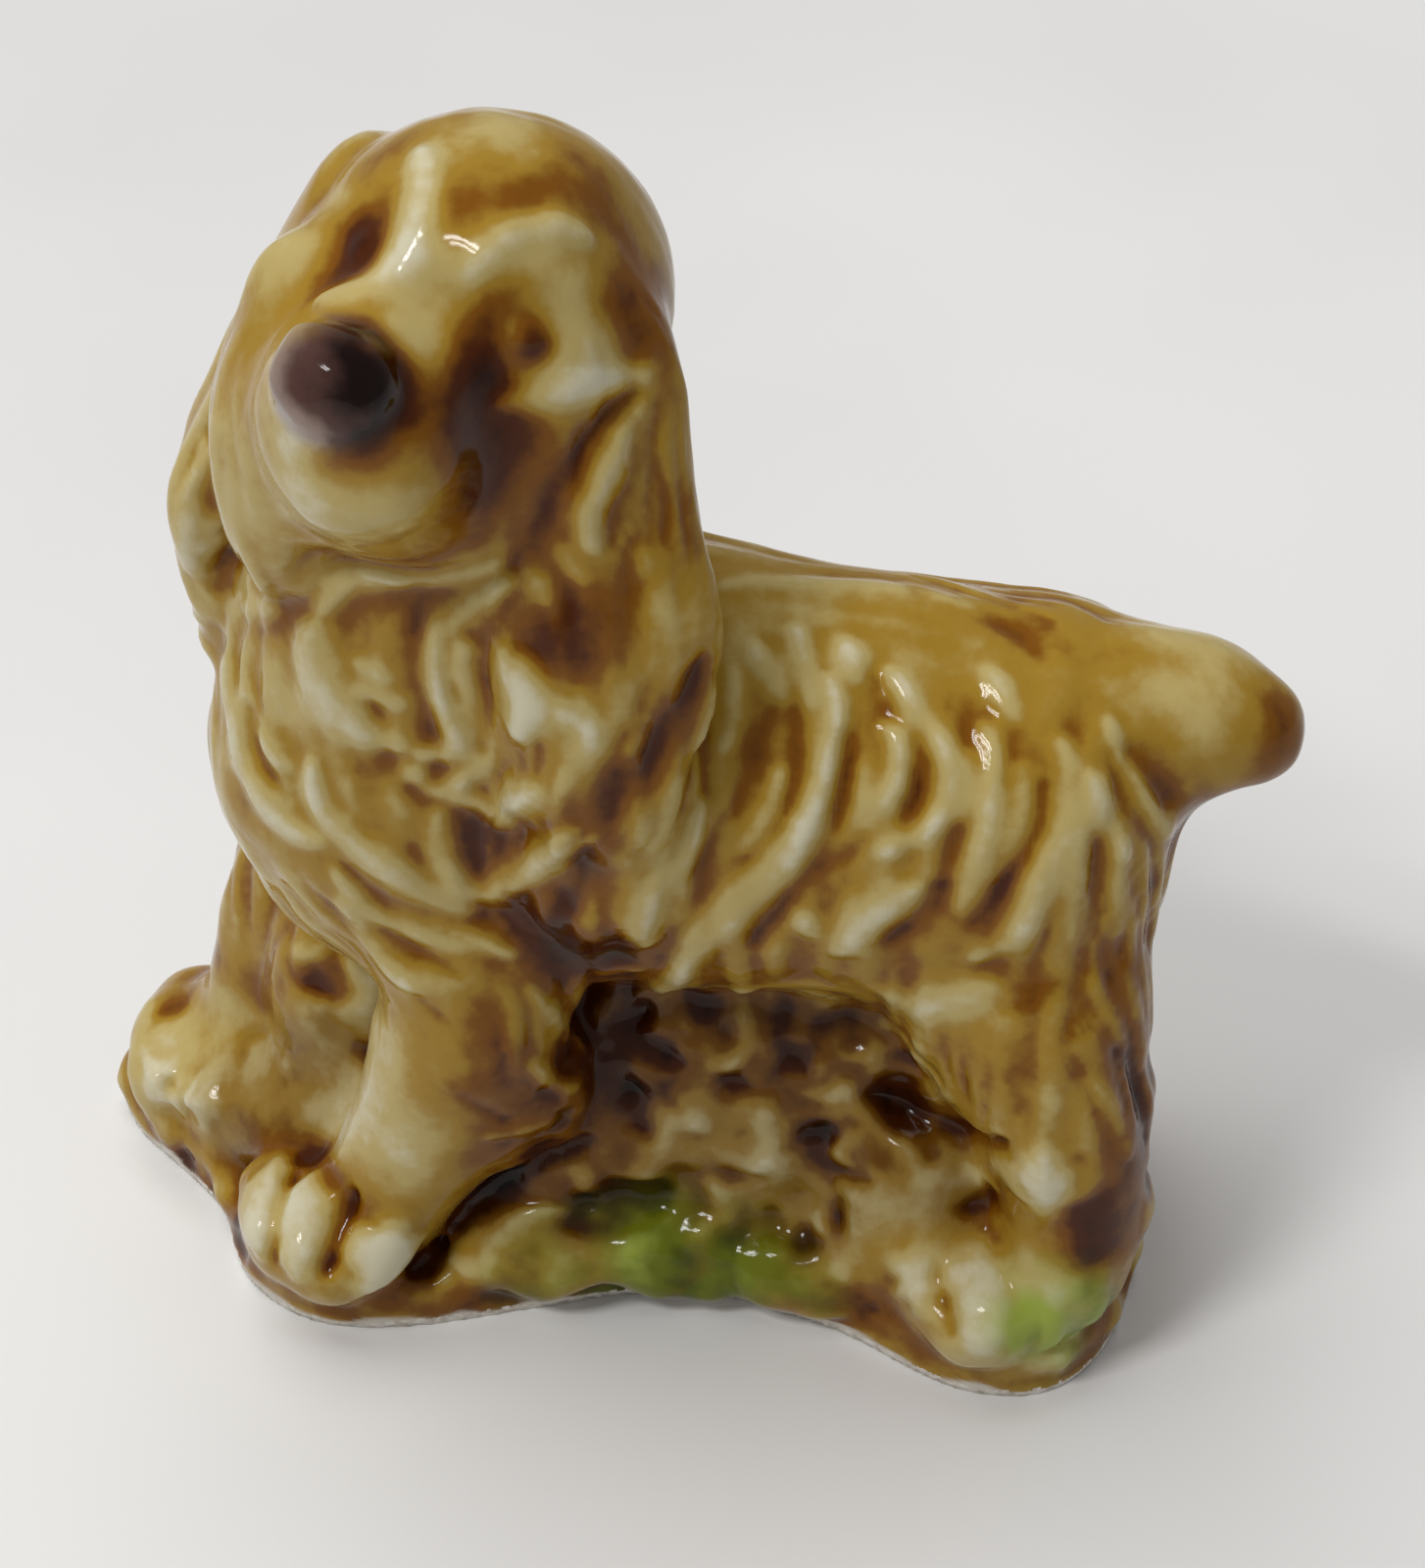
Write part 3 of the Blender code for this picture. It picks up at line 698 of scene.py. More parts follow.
# The nose: a button of clay on the muzzle, dabbed with brown-black underglaze that fires
# mauve where the glaze over it is thin, at its right side and lower rim.
leather = ball((9.1, -6.9, 37.7), (2.2, 1.8, 1.5), 0.2)
black_side = np.clip((skin[:, 1] + 7.9) / 1.7, 0, 1)
lower_rim = np.clip((37.2 - skin[:, 2]) / 0.7, 0, 1)
tone += leather * (0.02 + 0.58 * black_side - 0.5 * lower_rim)
nose_glaze = glazed("brown_black_glaze_on_nose", 0.2)
nose = start_piece("nose", nose_glaze)
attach(nose, "root")
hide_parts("nose")

# The ears: two long flaps lying flat against the cheeks and shoulders, with a few wavy
# locks at their lower ends. They were pressed in one with the head.
form((2.7, 0.4, 38.4), 2.2, -0.35)  # the left ear lies close to the skull and neck
form((4.0, 1.1, 36.2), 2.4, -0.42)
form((4.6, 1.4, 33.6), 2.4, -0.42)
form((5.4, 1.5, 31.0), 2.4, -0.42)
hair(
    locks=(
        (0.53, 1, (5.1, 0.3, 34.8), (5.6, -0.5, 33.8), (6, -1.1, 32.8), (6.2, -1.1, 32.1),
         (6.3, -0.9, 31.4)),
        (0.35, 0.8, (6.3, -1.8, 31.6), (6.5, -1.5, 31), (6.6, -1.2, 30.5)),
        (0.35, 0.8, (6.5, -2.3, 30.7), (6.7, -2.2, 30.2), (6.8, -2, 29.8)),
        (0.35, 0.5, (6, 0.4, 31.1), (6.2, 0.3, 30.4)),
        (0.41, 0.6, (7.2, -1.3, 27.4), (7.3, -1, 26.2), (7.5, -1.3, 25.5)),
        (0.59, 0.7, (7.1, -2.7, 28.1), (7.2, -2.4, 26.8), (7.2, -2.7, 25.6)),
        (0.65, 0.7, (7.3, -1.6, 26.9), (7.4, -0.8, 25.8), (7.6, -1.6, 24.5), (5.1, -3.5, 21.5)),
    ),
    partings=(
        (0.53, 0.65, (4.9, -0.5, 35.1), (5.8, -1.2, 34.3), (6.1, -1.9, 33.2), (6.1, -2.5, 31.9),
         (6.2, -2.9, 30.9)),
        (0.41, 0.45, (5.7, -0.1, 32.9), (6, -0.3, 32.1), (6.2, -0.5, 31.4)),
        (0.24, 0.6, (5.2, 0.9, 33.1), (5.4, 1.1, 32), (5.7, 1, 31)),
        (0.35, 0.6, (6.7, 0.5, 27.5), (7, 0.2, 26.4), (7.3, -0.3, 25.6)),
        (1.06, 1, (5.9, 1.8, 27.4), (6.7, 1, 25.6), (7.4, 0.1, 24.2), (7.7, -0.7, 22.7),
         (5.6, -1.7, 18.8)),
    ),
    pools_and_shade=(
        (1, 0.72, (6.9, -1.4, 29.2), (6.7, -0.8, 29.7), (7, -1, 28.6)),
        (0.88, 0.32, (6.4, 0, 30.2), (7, -0.5, 28), (6.6, 0.2, 29)),
        (0.59, 0.7, (7, -2.1, 28.7), (7.1, -1.7, 28.2)),
        (0.71, 0.6, (4.2, -0.2, 37.4), (4.3, 0.1, 36.3)),
        (1.29, 0.42, (6.1, 1.6, 26.4), (6.9, 0.8, 24.8), (7.6, -0.2, 23.3), (7.3, -1.1, 21.2)),
        (1.47, 0.34, (7.1, -1.9, 28.8), (6.9, -1.2, 29.2)),
    ),
    thins=(
        (1.35, 0.45, (7.1, 0.8, 22.7), (5.5, 0.2, 18.7)),
        (1.29, 0.4, (6.3, 0.6, 29.5), (6.7, 0.4, 27.7)),
    ),
)
# the right ear, mostly hidden behind the cheek
hair(
    locks=(
        (0.41, 0.7, (2.2, -11.8, 31.2), (2.5, -12.3, 29.2), (2.2, -12.7, 26.9)),
        (0.35, 0.6, (2.2, -11.4, 28.3), (2.5, -12.3, 27.8)),
        (0.35, 0.6, (2.3, -10.8, 31.3), (2.3, -11.2, 29.7), (2.5, -12, 28.5)),
    ),
    partings=(
        (0.53, 0.9, (2, -11.1, 28.6), (2.2, -11.7, 27.5), (2.1, -12.1, 26.2)),
        (0.26, 0.6, (0.5, -12.2, 24.7), (1.9, -11.7, 24.7)),
    ),
    pools_and_shade=(
        (0.35, 0.5, (1.5, -9.2, 36.9), (1.5, -9.9, 35.7), (1.8, -10.4, 34.3)),
        (0.41, 0.5, (2.5, -12.1, 29.8), (2.5, -11.7, 29.4)),
    ),
)
left_ear = start_piece("left_ear", coat_glaze)
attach(left_ear, "root")
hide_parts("left_ear")
right_ear = start_piece("right_ear", coat_glaze)
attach(right_ear, "root")
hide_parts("right_ear")

# The forelegs: short smooth columns ending in round paws with three modelled toes, under a
# thinner coat of glaze, so that they are the palest part.
broad_glaze_and_shade((-1.5, -15.4, 3.6), (3.0, 3.4, 3.4), -0.2)
broad_glaze_and_shade((3.6, -9.6, 9.0), (3.4, 3.0, 3.4), -0.14)
hair(
    locks=(
        (1.18, 1.5, (3.5, -11.7, 4.2), (5.2, -11.9, 4.2), (6.1, -11.9, 3.6)),
        (1.29, 1.7, (4.6, -10.2, 4.6), (5.8, -10.5, 4), (7, -10.7, 3.7)),
        (1.41, 1.7, (5.8, -7.8, 4.7), (6.2, -8.2, 3.6), (6.7, -8.5, 3)),
        (0.35, 0.8, (5.7, -3.3, 12), (4.8, -2.8, 10.3), (4.3, -2, 9.6)),
        (0.26, 0.6, (5.6, -4.9, 8.7), (5, -3.2, 8.6), (4.1, -2, 8.5)),
        (0.35, 0.6, (5.7, -3.2, 14.9), (5.2, -2.5, 13.3), (2.7, -2.1, 9.6)),
    ),
    partings=(
        (0.41, 1.5, (3.9, -11.1, 4.2), (5.6, -11.4, 4.2), (6.4, -11.5, 3.3)),
        (0.47, 1.6, (5.4, -9, 5.5), (6.2, -9.5, 4.3), (7.3, -9.8, 3.6)),
        (0.29, 0.8, (5.4, -7.2, 3.7), (5.2, -7.6, 1.6)),
        (0.26, 0.6, (5, -3.3, 10.4), (4.7, -2.5, 9.3)),
        (0.26, 0.6, (6.3, -5.3, 11), (5.3, -4.1, 9.1)),
        (0.35, 0.5, (5.9, -6.4, 14.8), (6.4, -5.7, 14)),
        (0.41, 1.3, (3.4, -6.7, 1.6), (3.9, -5.7, 3.8), (3.8, -4.1, 5.4), (3.6, -1.9, 6.9)),
        (0.35, 0.8, (5.2, -7.6, 1.6), (4.6, -7.2, 2.2)),
    ),
    pools_and_shade=(
        (0.71, 0.7, (3, -10.7, 4.4), (4.8, -9.5, 5.7)),
        (0.88, 0.7, (6.5, -4.3, 14), (5.9, -3.6, 12), (6.3, -5, 11.3)),
        (1.76, 0.7, (5.4, -2, 17.4), (5.1, -1.3, 16.3)),
        (0.76, 0.4, (5.4, -7.2, 3.9), (5.3, -7.1, 1.6)),
        (0.71, 0.3, (5.8, -8.3, 5.2), (5.8, -7.9, 4.8)),
    ),
    thins=(
        (0.88, 0.7, (5.4, -7.5, 11.4), (4.7, -8.7, 8.1), (2.2, -10.6, 4.9)),
        (1.47, 0.5, (2, -10.1, 5.7), (5.9, -7, 9.1)),
        (1.18, 0.3, (5.4, -11, 4.2), (6.5, -8.4, 3.4)),
        (1.35, 0.35, (5.7, -7.1, 12.4), (6, -6.8, 9.8), (5.9, -7.2, 6.9)),
    ),
)
# the right foreleg, which stands ahead
hair(
    locks=(
        (1.06, 1.3, (-0.5, -17, 3.5), (-0.7, -16.5, 3.9)),
        (1, 1.2, (-0.5, -15.8, 3.5), (-0.5, -15.6, 3.1)),
        (1, 1.1, (-0.8, -14.7, 3.3), (0.3, -14.3, 3.8)),
        (0.53, 0.6, (-4, -17.7, 4.1), (-2.9, -17.5, 4)),
        (0.41, 0.4, (0.4, -11.8, 5.8), (0.2, -11.2, 6.1)),
    ),
    partings=(
        (0.35, 1, (-0.8, -15.2, 3.5), (-0.6, -15.1, 2.6)),
        (0.35, 1.1, (-0.6, -16.2, 3.8), (-0.4, -16.2, 3)),
        (0.35, 0.5, (-0.3, -13.6, 4.9), (-1.3, -13.4, 5.2), (-1.4, -12.5, 5.6)),
    ),
    pools_and_shade=(
        (0.76, 0.6, (-3.5, -14.9, 7.4), (-1.6, -13.6, 7.6), (-1.4, -13, 7.4)),
        (0.41, 0.8, (-3.3, -16.9, 4.3), (-3.2, -16, 4.3)),
        (0.76, 0.5, (-3.2, -16.4, 4.3), (-3.4, -15.9, 4.4)),
    ),
    thins=(
        (1.76, 0.6, (-1.5, -16.5, 4.3), (-1.1, -15, 3.8)),
        (1.18, 0.5, (-1.8, -14.2, 6.9), (-1.8, -13.9, 9)),
        (1.18, 0.5, (-1.1, -12.1, 5.6), (-2, -11.6, 5.6)),
    ),
)
paw_glaze = glazed("thin_honey_glaze_on_paws", 0.2)
left_foreleg = start_piece("left_foreleg", paw_glaze)
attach(left_foreleg, "root")
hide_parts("left_foreleg")
right_foreleg = start_piece("right_foreleg", paw_glaze)
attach(right_foreleg, "root")
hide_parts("right_foreleg")

# The hind legs: a broad haunch each side over a low paw, half sunk in the bank. Behind
# them, under the rump, painted shade darkens the glaze.
# painted shade behind the haunch, under the rump
broad_glaze_and_shade((5.0, 15.0, 9.0), (2.8, 1.8, 6.0), 0.28)
broad_glaze_and_shade((5.0, 10.4, 4.0), (3.0, 3.4, 2.6), -0.14)
hair(
    locks=(
        (0.76, 0.7, (6.7, 12, 10.8), (6.7, 12.2, 9.1)),
        (0.41, 0.6, (6.4, 13.1, 13.3), (6, 14.1, 11.4), (6, 14.5, 9.8)),
        (1.29, 1.2, (4.3, 8.5, 3.9), (5.9, 8.6, 4), (6.5, 8.8, 3.6)),
        (1.65, 1.2, (5.6, 10.4, 4.2), (7.2, 10.4, 4.3), (7.9, 10.6, 3.5)),
        (2.53, 1.3, (6.3, 12.5, 5.2), (6.6, 12.8, 3.8), (6.4, 12.7, 1.6)),
        (1.47, 1, (6.7, 11.9, 10.1), (6.6, 12.1, 8.4)),
    ),
    partings=(
        (0.41, 0.9, (5.6, 13.9, 13.9), (5.1, 14.6, 11.8), (5, 15.1, 9.7)),
        (0.35, 0.6, (6.7, 13, 10.5), (6.8, 13.1, 9.3)),
        (0.47, 1.2, (5.7, 9.1, 4.2), (6.9, 9.4, 4), (7.8, 9.7, 3.6)),
        (0.47, 0.6, (6, 11.4, 4.4), (7.5, 11.5, 3.4)),
    ),
    pools_and_shade=(
        (0.65, 0.9, (6.7, 13.3, 8.2), (6.5, 13.6, 6.3)),
        (0.47, 0.6, (3.9, 10.3, 4.8), (4.8, 11.2, 5)),
        (0.41, 0.6, (5.7, 11.2, 16.1), (5.5, 12, 16.3), (6.1, 11, 15.6)),
        (1.06, 0.8, (6.7, 13.5, 8.2), (6.6, 13.7, 6.5)),
    ),
    thins=(
        (1, 0.7, (4.1, 7.1, 14.2), (5.2, 8.7, 15), (5.8, 9.9, 15.3)),
        (0.59, 0.5, (6.7, 11.4, 13.1), (6.5, 12.8, 12.7)),
    ),
    both_sides=True,
)
left_hindleg = start_piece("left_hindleg", paw_glaze)
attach(left_hindleg, "root")
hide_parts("left_hindleg")
right_hindleg = start_piece("right_hindleg", paw_glaze)
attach(right_hindleg, "root")
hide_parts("right_hindleg")

# The tail: a short blunt stub at the back of the rump, smooth, with painted light making it pale
# on top and painted shade making it darker below.
# painted shade under the tail and on the rump below it
broad_glaze_and_shade((0.0, 18.6, 20.6), (2.6, 1.6, 2.4), 0.22)
broad_glaze_and_shade((0.0, 16.2, 19.2), (3.0, 2.2, 1.6), 0.22)
# painted light on top of the tail
broad_glaze_and_shade((0.0, 15.6, 24.4), (2.0, 2.2, 1.2), -0.2)
hair(
    pools_and_shade=(
        (0.59, 0.5, (0.7, 17.5, 22.9), (1.4, 17.8, 22.1)),
        (0.59, 0.4, (0.5, 13.4, 24.4), (0.7, 14.8, 24.1)),
    ),
    thins=(
        (0.71, 0.5, (1.4, 14.2, 23.9), (2.1, 15.7, 23)),
    ),
    both_sides=True,
)
tail = start_piece("tail", coat_glaze)
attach(tail, "root")
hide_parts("tail")

# The undergrowth: a lumpy bank of clay under the belly that lets the figure leave the die
# and carries its weight in the kiln. Glaze has pooled dark in its pits.


def blotch(scale, seed):
    """Cloudy noise over the skin, about -1 to 1, with lumps of about scale mm."""
    shift = Vector((seed * 17.3, seed * 5.1, seed * 9.7))
    return np.array([noise.noise(Vector(spot) / scale + shift) for spot in skin]) * 1.6


knobs = blotch(1.25, 1)
lumps = blotch(2.1, 2)
clouds = blotch(3.2, 3)
pits = np.clip(-1.6 * blotch(1.7, 5) - 0.42, 0, 1)
# rough below the belly and between the sides, but not on the legs
rough = np.clip((13.0 - skin[:, 2]) / 1.5, 0, 1)
rough *= np.clip((4.9 - np.abs(skin[:, 0] - 0.5)) / 0.8, 0, 1)
rough *= 1 - ball((-3.0, -14.0, 8.0), (4.0, 5.5, 9.0), 0.2)
rough *= 1 - ball((5.4, -9.0, 6.0), (2.2, 5.0, 7.0), 0.2)
rough *= 1 - ball((0.6, -12.6, 4.4), (3.0, 4.0, 4.4), 0.2)
rise += rough * (0.14 * knobs + 0.20 * lumps - 0.24 * pits)
tone -= rough * (0.08 * knobs + 0.12 * lumps - 0.42 * pits)
# painted shade under the chest and belly, over the bank between the legs
broad_glaze_and_shade((1.0, -3.2, 8.0), (4.5, 4.0, 5.0), 0.44)
broad_glaze_and_shade((1.5, 1.2, 10.6), (4.5, 5.0, 2.0), 0.2)
hair(
    locks=(
        (0.47, 0.7, (2.4, 2.8, 11.4), (2.8, 3, 10.6), (3.1, 2.4, 9.8)),
        (0.41, 0.8, (3.3, 0.8, 8.9), (3.4, 1.2, 8.1), (3.5, 1.8, 7.4)),
        (0.41, 0.7, (3.3, 4.7, 8.9), (3.2, 5.9, 9.1), (2.9, 7.1, 10), (2.8, 8.1, 9.8)),
        (0.41, 0.6, (3.5, 6.6, 7.8), (3.5, 6, 6.9), (3.6, 6.6, 6.6)),
        (0.35, 0.6, (2.4, 1, 11.7), (2.8, 1.2, 10.8)),
        (0.53, 0.6, (3.4, 3.5, 8.3), (3.5, 3.8, 7.1), (3.5, 3.3, 6)),
        (0.41, 0.6, (2.3, 7, 11.3), (4.1, 7.9, 11.8), (4.6, 8.9, 11.3)),
        (0.41, 0.6, (3.7, 9.6, 7), (3.6, 10.5, 6.6)),
        (1, 0.9, (3.5, 6.1, 3.6), (3.4, 6.4, 2.6)),
        (0.47, 0.7, (3.6, 0.8, 3), (3.6, 0.5, 3.4)),
        (0.53, 0.6, (3.5, 2, 5.2), (3.7, 2.4, 3.3)),
        (0.41, 0.6, (3.8, -2, 1.6), (4.1, -1.6, 1.4)),
        (0.59, 1, (5.4, -6.5, 1.6), (4.2, -5.4, 1.6), (3.4, -4.1, 2.2), (3.5, -2.9, 3.1)),
        (0.35, 0.5, (4.3, 4.9, 1.4), (5.1, 6.5, 1.3)),
    ),
    partings=(
        (0.65, 1.2, (2.5, -0.2, 11.3), (2.9, -0.4, 10.4), (3.1, 0.8, 9.9)),
        (0.76, 1.2, (3.3, -0.7, 8.7), (3.5, -0.1, 7.2)),
        (0.65, 1.1, (3.2, 2.2, 9.3), (3.3, 2.9, 9)),
        (0.59, 1, (2.8, 4.1, 10.3), (3.1, 4.7, 9.7)),
        (0.53, 1.3, (3.2, 6.7, 8.9), (3.3, 7.9, 8.6), (3.4, 9.4, 7.9), (6.3, 10.8, 10.4)),
        (0.35, 0.8, (3.5, 6.3, 6.3), (3.7, 7.5, 6.2)),
        (0.35, 0.7, (3.5, 4.2, 6.9), (3.4, 5.4, 7.6)),
        (0.29, 0.7, (2.7, 5.8, 10.5), (2.6, 6.6, 10.7)),
        (0.53, 0.9, (3.6, 3.9, 4.1), (3.7, 4.2, 2.7), (3.7, 4.7, 1.6)),
        (0.41, 0.8, (3.4, -0.2, 2), (3.7, 0.5, 1.2)),
        (0.47, 0.9, (3.7, -2.3, 4.6), (3.6, -1.7, 3.8)),
        (0.29, 0.7, (3.7, -3.3, 1.6), (4.3, -2.3, 1.1)),
        (0.35, 0.7, (3.5, 6.7, 1.6), (5.1, 7.4, 1.6)),
        (0.88, 0.5, (2.6, -0.8, 10.9), (2.6, 0.2, 11.3)),
    ),
    thins=(
        (1.35, 0.8, (3.5, 6.1, 3.6), (3.4, 6.4, 2.8)),
    ),
)
bank_glaze = glazed("mottled_glaze_on_bank", 0.3)
undergrowth = start_piece("undergrowth", bank_glaze)
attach(undergrowth, "root")
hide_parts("undergrowth")

# The base: a thin oval plinth, brushed with moss green along its front edge. Its rim is
# chipped to the clay here and there, and its foot is wiped bare so that it stands flat.
moss = np.maximum(ball((5.2, 0.6, 1.6), (4.0, 4.6, 2.8)), ball((7.3, 13.0, 3.4), (1.8, 2.4, 2.4)))
moss = np.clip(moss * (0.75 + 0.9 * clouds + 0.5 * knobs), 0, 1)
moss = np.maximum(moss, ball((4.6, 0.2, 2.6), (2.4, 1.7, 2.2), 0.5))
tone += 0.10 * clouds + 0.14 * moss
ground_low = np.clip((2.2 - skin[:, 2]) / 1.0, 0, 1)
rise += ground_low * (0.10 * knobs + 0.12 * lumps)
tone += 0.12 * ground_low
bare = np.clip((0.5 + 0.35 * lumps + 0.2 * knobs - skin[:, 2]) / 0.14, 0, 1)

# Bisque: unglazed fired porcelain, chalky and matt, with a fine grit of about 0.3 mm.
bisque, tree, shader, place = new_material("bare_bisque_foot")
grit = add_node(tree, "ShaderNodeTexNoise", Vector=place, Scale=3500.0, Detail=4.0).outputs["Fac"]
tints = add_ramp(tree, grit, ((0.3, "#B9B0A2"), (0.65, "#E4DFD6")))
grain = add_node(tree, "ShaderNodeBump", Strength=0.35, Distance=0.08 * MM, Height=grit)
set_inputs(tree, shader, Base_Color=tints, Normal=grain.outputs["Normal"], Roughness=0.72)
ground_glaze = glazed("mottled_ground_glaze", 0.3)
base = start_piece("base", ground_glaze)
base.data.materials.append(bisque)
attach(base, "root")
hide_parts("base")

# Pressing, glazing and firing. Fine hair is combed along the locks, the modelling is
# pressed into the skin, and the glaze melts: it gathers in the hollows and runs thin on the
# ridges, and the painted shade and light in the tone go into its depth too. Then each mass's
# piece of the skin goes to its own object.
hairy = np.clip((skin[:, 2] - 8) / 4, 0, 1)  # none on the paws and bank
hairy *= 1 - 0.85 * np.clip((skin[:, 2] - 24.0) / 2, 0, 1) * np.clip((skin[:, 1] - 0.5) / 2, 0, 1)
hairy *= 1 - 0.93 * ball((2.5, -4.5, 37.4), (6.4, 6.4, 4.6))  # the smooth skull
hairy *= 1 - 0.95 * ball((7.5, -6.2, 35.6), (4.6, 4.6, 4.6))  # the muzzle
hairy *= 1 - 0.85 * ball((0, 17.5, 22.5), (4, 4.5, 4))  # the tail
hairy *= 1 - 0.8 * ball((4.6, -8.4, 9.0), (3.6, 4.2, 5.4))  # the left foreleg
hairy = np.maximum(hairy, 0.9 * moss)
flow += np.array((0.0, 0.006, -0.02))  # elsewhere the hair hangs down and a little back
flow -= np.einsum("ij,ij->i", flow, normal)[:, None] * normal
flow /= np.linalg.norm(flow, axis=1)[:, None] + 1e-9
span = skin[edges[:, 1]] - skin[edges[:, 0]]
span /= np.linalg.norm(span, axis=1)[:, None] + 1e-9
lie = flow[edges[:, 0]] + flow[edges[:, 1]]
lie /= np.linalg.norm(lie, axis=1)[:, None] + 1e-9
# an edge of the mesh passes noise on only if it runs along the hair
grip = np.abs(np.einsum("ij,ij->i", span, lie)) ** 6 + 0.004
held = from_neighbours(np.ones(len(skin)), edges, len(skin), grip)
chance = np.random.default_rng(7)


def combed(rounds_across, rounds_along):
    """Streaks of noise drawn out the way the hair lies."""
    strand = relax(chance.standard_normal(len(skin)), rounds_across)
    for _ in range(rounds_along):
        strand += 0.7 * (from_neighbours(strand, edges, len(skin), grip) / held - strand)
    strand -= relax(strand, 60)
    return strand / strand.std()


strands = np.tanh(0.8 * combed(14, 130))
wisps = np.tanh(0.8 * combed(3, 60))
long_haired = relax(hairy, 12)
rise += long_haired * (0.10 * strands + 0.02 * wisps)
tone -= long_haired * 0.035 * strands
footing = np.clip((skin[:, 2] - 0.25) / 0.8, 0, 1)  # the foot itself isn't modelled
skin = skin + normal * (relax(rise, 3) * footing)[:, None]
skin = relax(skin, 1, 0.35)
FOOT_FLAT = 0.16  # mm, below which the foot is ground flat
skin[:, 2] = np.where(skin[:, 2] < FOOT_FLAT, 0.0, skin[:, 2])
write_skin(figure, skin)
skin, normal = read_skin(figure)

fine_hollow = np.einsum("ij,ij->i", relax(skin, 14) - skin, normal)
broad_hollow = np.einsum("ij,ij->i", relax(skin, 70) - skin, normal)
depth = relax(tone, 5) + np.clip(1.7 * fine_hollow + 0.9 * broad_hollow, -0.5, 0.6)
depth = 0.5 + 0.46 * np.tanh(1.7 * depth)  # from 0, thin and cream, to 1, deep and dark

# which mass each vertex belongs to: the nearest one, tidied by a vote among neighbours
mass_spots, mass_faces, mass_names = [], [], []
for name in names:
    start = len(mass_spots)
    mass_spots += [vertex.co / MM for vertex in frame["nodes"][name].data.vertices]
    for polygon in frame["nodes"][name].data.polygons:
        mass_faces.append([start + at for at in polygon.vertices])
        mass_names.append(names.index(name))
masses = BVHTree.FromPolygons(mass_spots, mass_faces)
owner = np.array([mass_names[masses.find_nearest(Vector(spot))[2]] for spot in skin])
VOTE_ROUNDS = 8
OWN_VOTE = 1.5
for _ in range(VOTE_ROUNDS):
    counts = np.zeros((len(skin), len(names)))
    np.add.at(counts, (edges[:, 0], owner[edges[:, 1]]), 1.0)
    np.add.at(counts, (edges[:, 1], owner[edges[:, 0]]), 1.0)
    counts[np.arange(len(skin)), owner] += OWN_VOTE
    owner = counts.argmax(1)

bank = relax((owner == names.index("undergrowth")).astype(float), 60)
painted_layers = {
    "glaze_depth": depth,
    "bank": bank,
    "moss": moss,
    "nose_leather": leather,
    "bare_clay": bare,
}

corners = np.array([tuple(polygon.vertices) for polygon in figure.data.polygons])
face_owner = owner[corners[:, 0]]
WALL = 0.3  # mm of clay behind each piece's outer face


def fill_piece(piece, node):
    """Gives a piece its part of the skin, as a closed shell with a wall behind it."""
    outer = corners[face_owner == names.index(node)]
    used, outer = np.unique(outer, return_inverse=True)
    outer = outer.reshape(-1, 4)
    count = len(used)
    spots = np.vstack([skin[used], skin[used] - WALL * normal[used]])
    sides = np.stack([outer, np.roll(outer, -1, axis=1)], 2).reshape(-1, 2)
    two_way = {(a, b) for a, b in sides.tolist()}
    rim = [(a, b) for a, b in sides.tolist() if (b, a) not in two_way]
    faces = outer.tolist() + (outer[:, ::-1] + count).tolist()
    faces += [(b, a, a + count, b + count) for a, b in rim]
    mesh = piece.data
    mesh.from_pydata((spots * MM).tolist(), [], faces)
    for label, values in painted_layers.items():
        layer = mesh.attributes.new(label, "FLOAT", "POINT")
        layer.data.foreach_set("value", np.tile(values[used], 2).astype(np.float32))
    mesh.polygons.foreach_set("use_smooth", [True] * len(mesh.polygons))
    mesh.update()
    # the whole skin's normals, so that no seam shows between pieces
    loops = np.array([loop.vertex_index for loop in mesh.loops])
    mesh.normals_split_custom_set(np.vstack([normal[used], -normal[used]])[loops].tolist())


pieces = [torso, ruff, head, nose, left_ear, right_ear, left_foreleg, right_foreleg]
pieces += [left_hindleg, right_hindleg, tail, undergrowth, base]
for piece in pieces:
    fill_piece(piece, piece.name.removesuffix("_glazed"))
BARE_FOOT = 0.3  # mm up from the table
for polygon in base.data.polygons:
    if polygon.center.z < BARE_FOOT * MM:
        polygon.material_index = 1
bpy.data.objects.remove(figure)

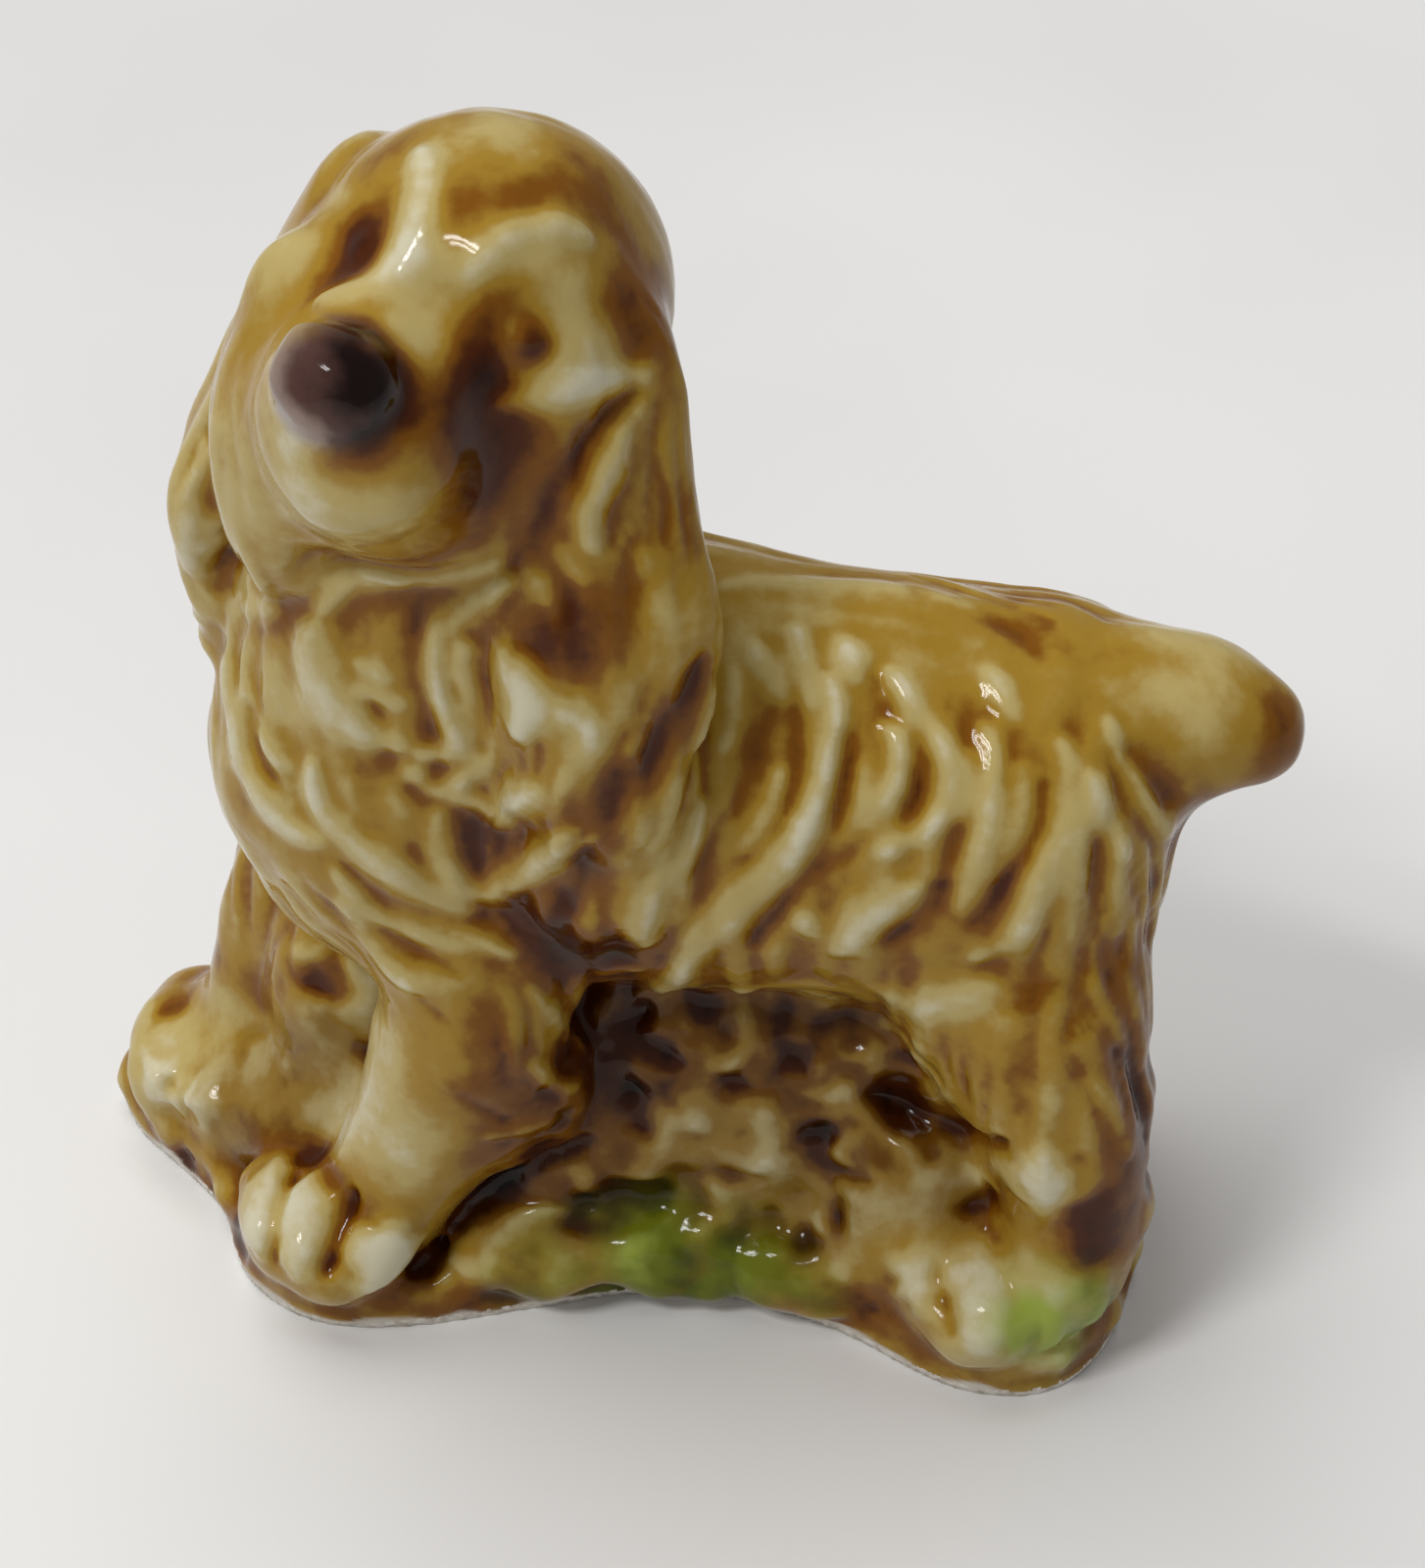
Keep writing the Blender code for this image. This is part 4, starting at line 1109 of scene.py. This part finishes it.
# The table top, the light and the camera: a satin white board that isn't part of the
# figurine, a window's two panes to its right, and the glow of a pale ceiling.
bpy.ops.object.select_all(action="DESELECT")
bpy.ops.mesh.primitive_plane_add(size=4.0, location=(0, 0, -0.02 * MM))
table = bpy.context.active_object
table.name = "table_top"
# Satin paint: a broad soft sheen, with clouds of tint some 50 mm across.
paint, tree, shader, place = new_material("satin_white_table")
cloud = add_node(tree, "ShaderNodeTexNoise", Vector=place, Scale=18.0, Detail=3.0).outputs["Fac"]
tints = add_ramp(tree, cloud, ((0.3, "#DDDBD9"), (0.7, "#E5E4E2")))
set_inputs(tree, shader, Base_Color=tints, Roughness=0.55)
table.data.materials.append(paint)


def spot_at(turn, height, distance, centre):
    """A place in metres, seen turn degrees round from the front and height degrees up."""
    turn, height = math.radians(turn), math.radians(height)
    level = math.cos(height)
    way = Vector((math.sin(turn) * level, -math.cos(turn) * level, math.sin(height)))
    return (Vector(centre) + way * distance) * MM


def aim(item, place, target):
    item.location = place
    item.rotation_euler = (Vector(target) * MM - place).to_track_quat("-Z", "Y").to_euler()
    bpy.context.scene.collection.objects.link(item)
    return item


def lamp(name, place, size, watts):
    light = bpy.data.lights.new(name, "AREA")
    light.shape = "RECTANGLE"
    light.size, light.size_y = size
    light.energy = watts
    return aim(bpy.data.objects.new(name, light), place, LIT)


LIT = (0.0, 0.0, 18.0)
lamp("window_upper", spot_at(48, 56, 500, LIT), (0.11, 0.035), 0.55)
lamp("window_lower", spot_at(44, 49, 500, LIT), (0.11, 0.03), 0.45)
lamp("ceiling_glow", spot_at(-40, 72, 700, LIT), (0.6, 0.6), 3.0).visible_glossy = False
room = bpy.data.worlds.new("room")
bpy.context.scene.world = room
room.use_nodes = True
room.node_tree.nodes["Background"].inputs["Color"].default_value = srgb("#F2F3F4")
room.node_tree.nodes["Background"].inputs["Strength"].default_value = 0.34

# a close-up, from a little over 100 mm away
SUBJECT = (-1.5, 1.5, 17.0)
camera = bpy.data.objects.new("camera", bpy.data.cameras.new("camera"))
aim(camera, spot_at(95, 40, 105, SUBJECT), SUBJECT)
camera.data.sensor_width = 36.0
camera.data.lens = 79.9
camera.data.clip_start = 0.005
bpy.context.scene.camera = camera
bpy.context.scene.view_settings.view_transform = "Standard"
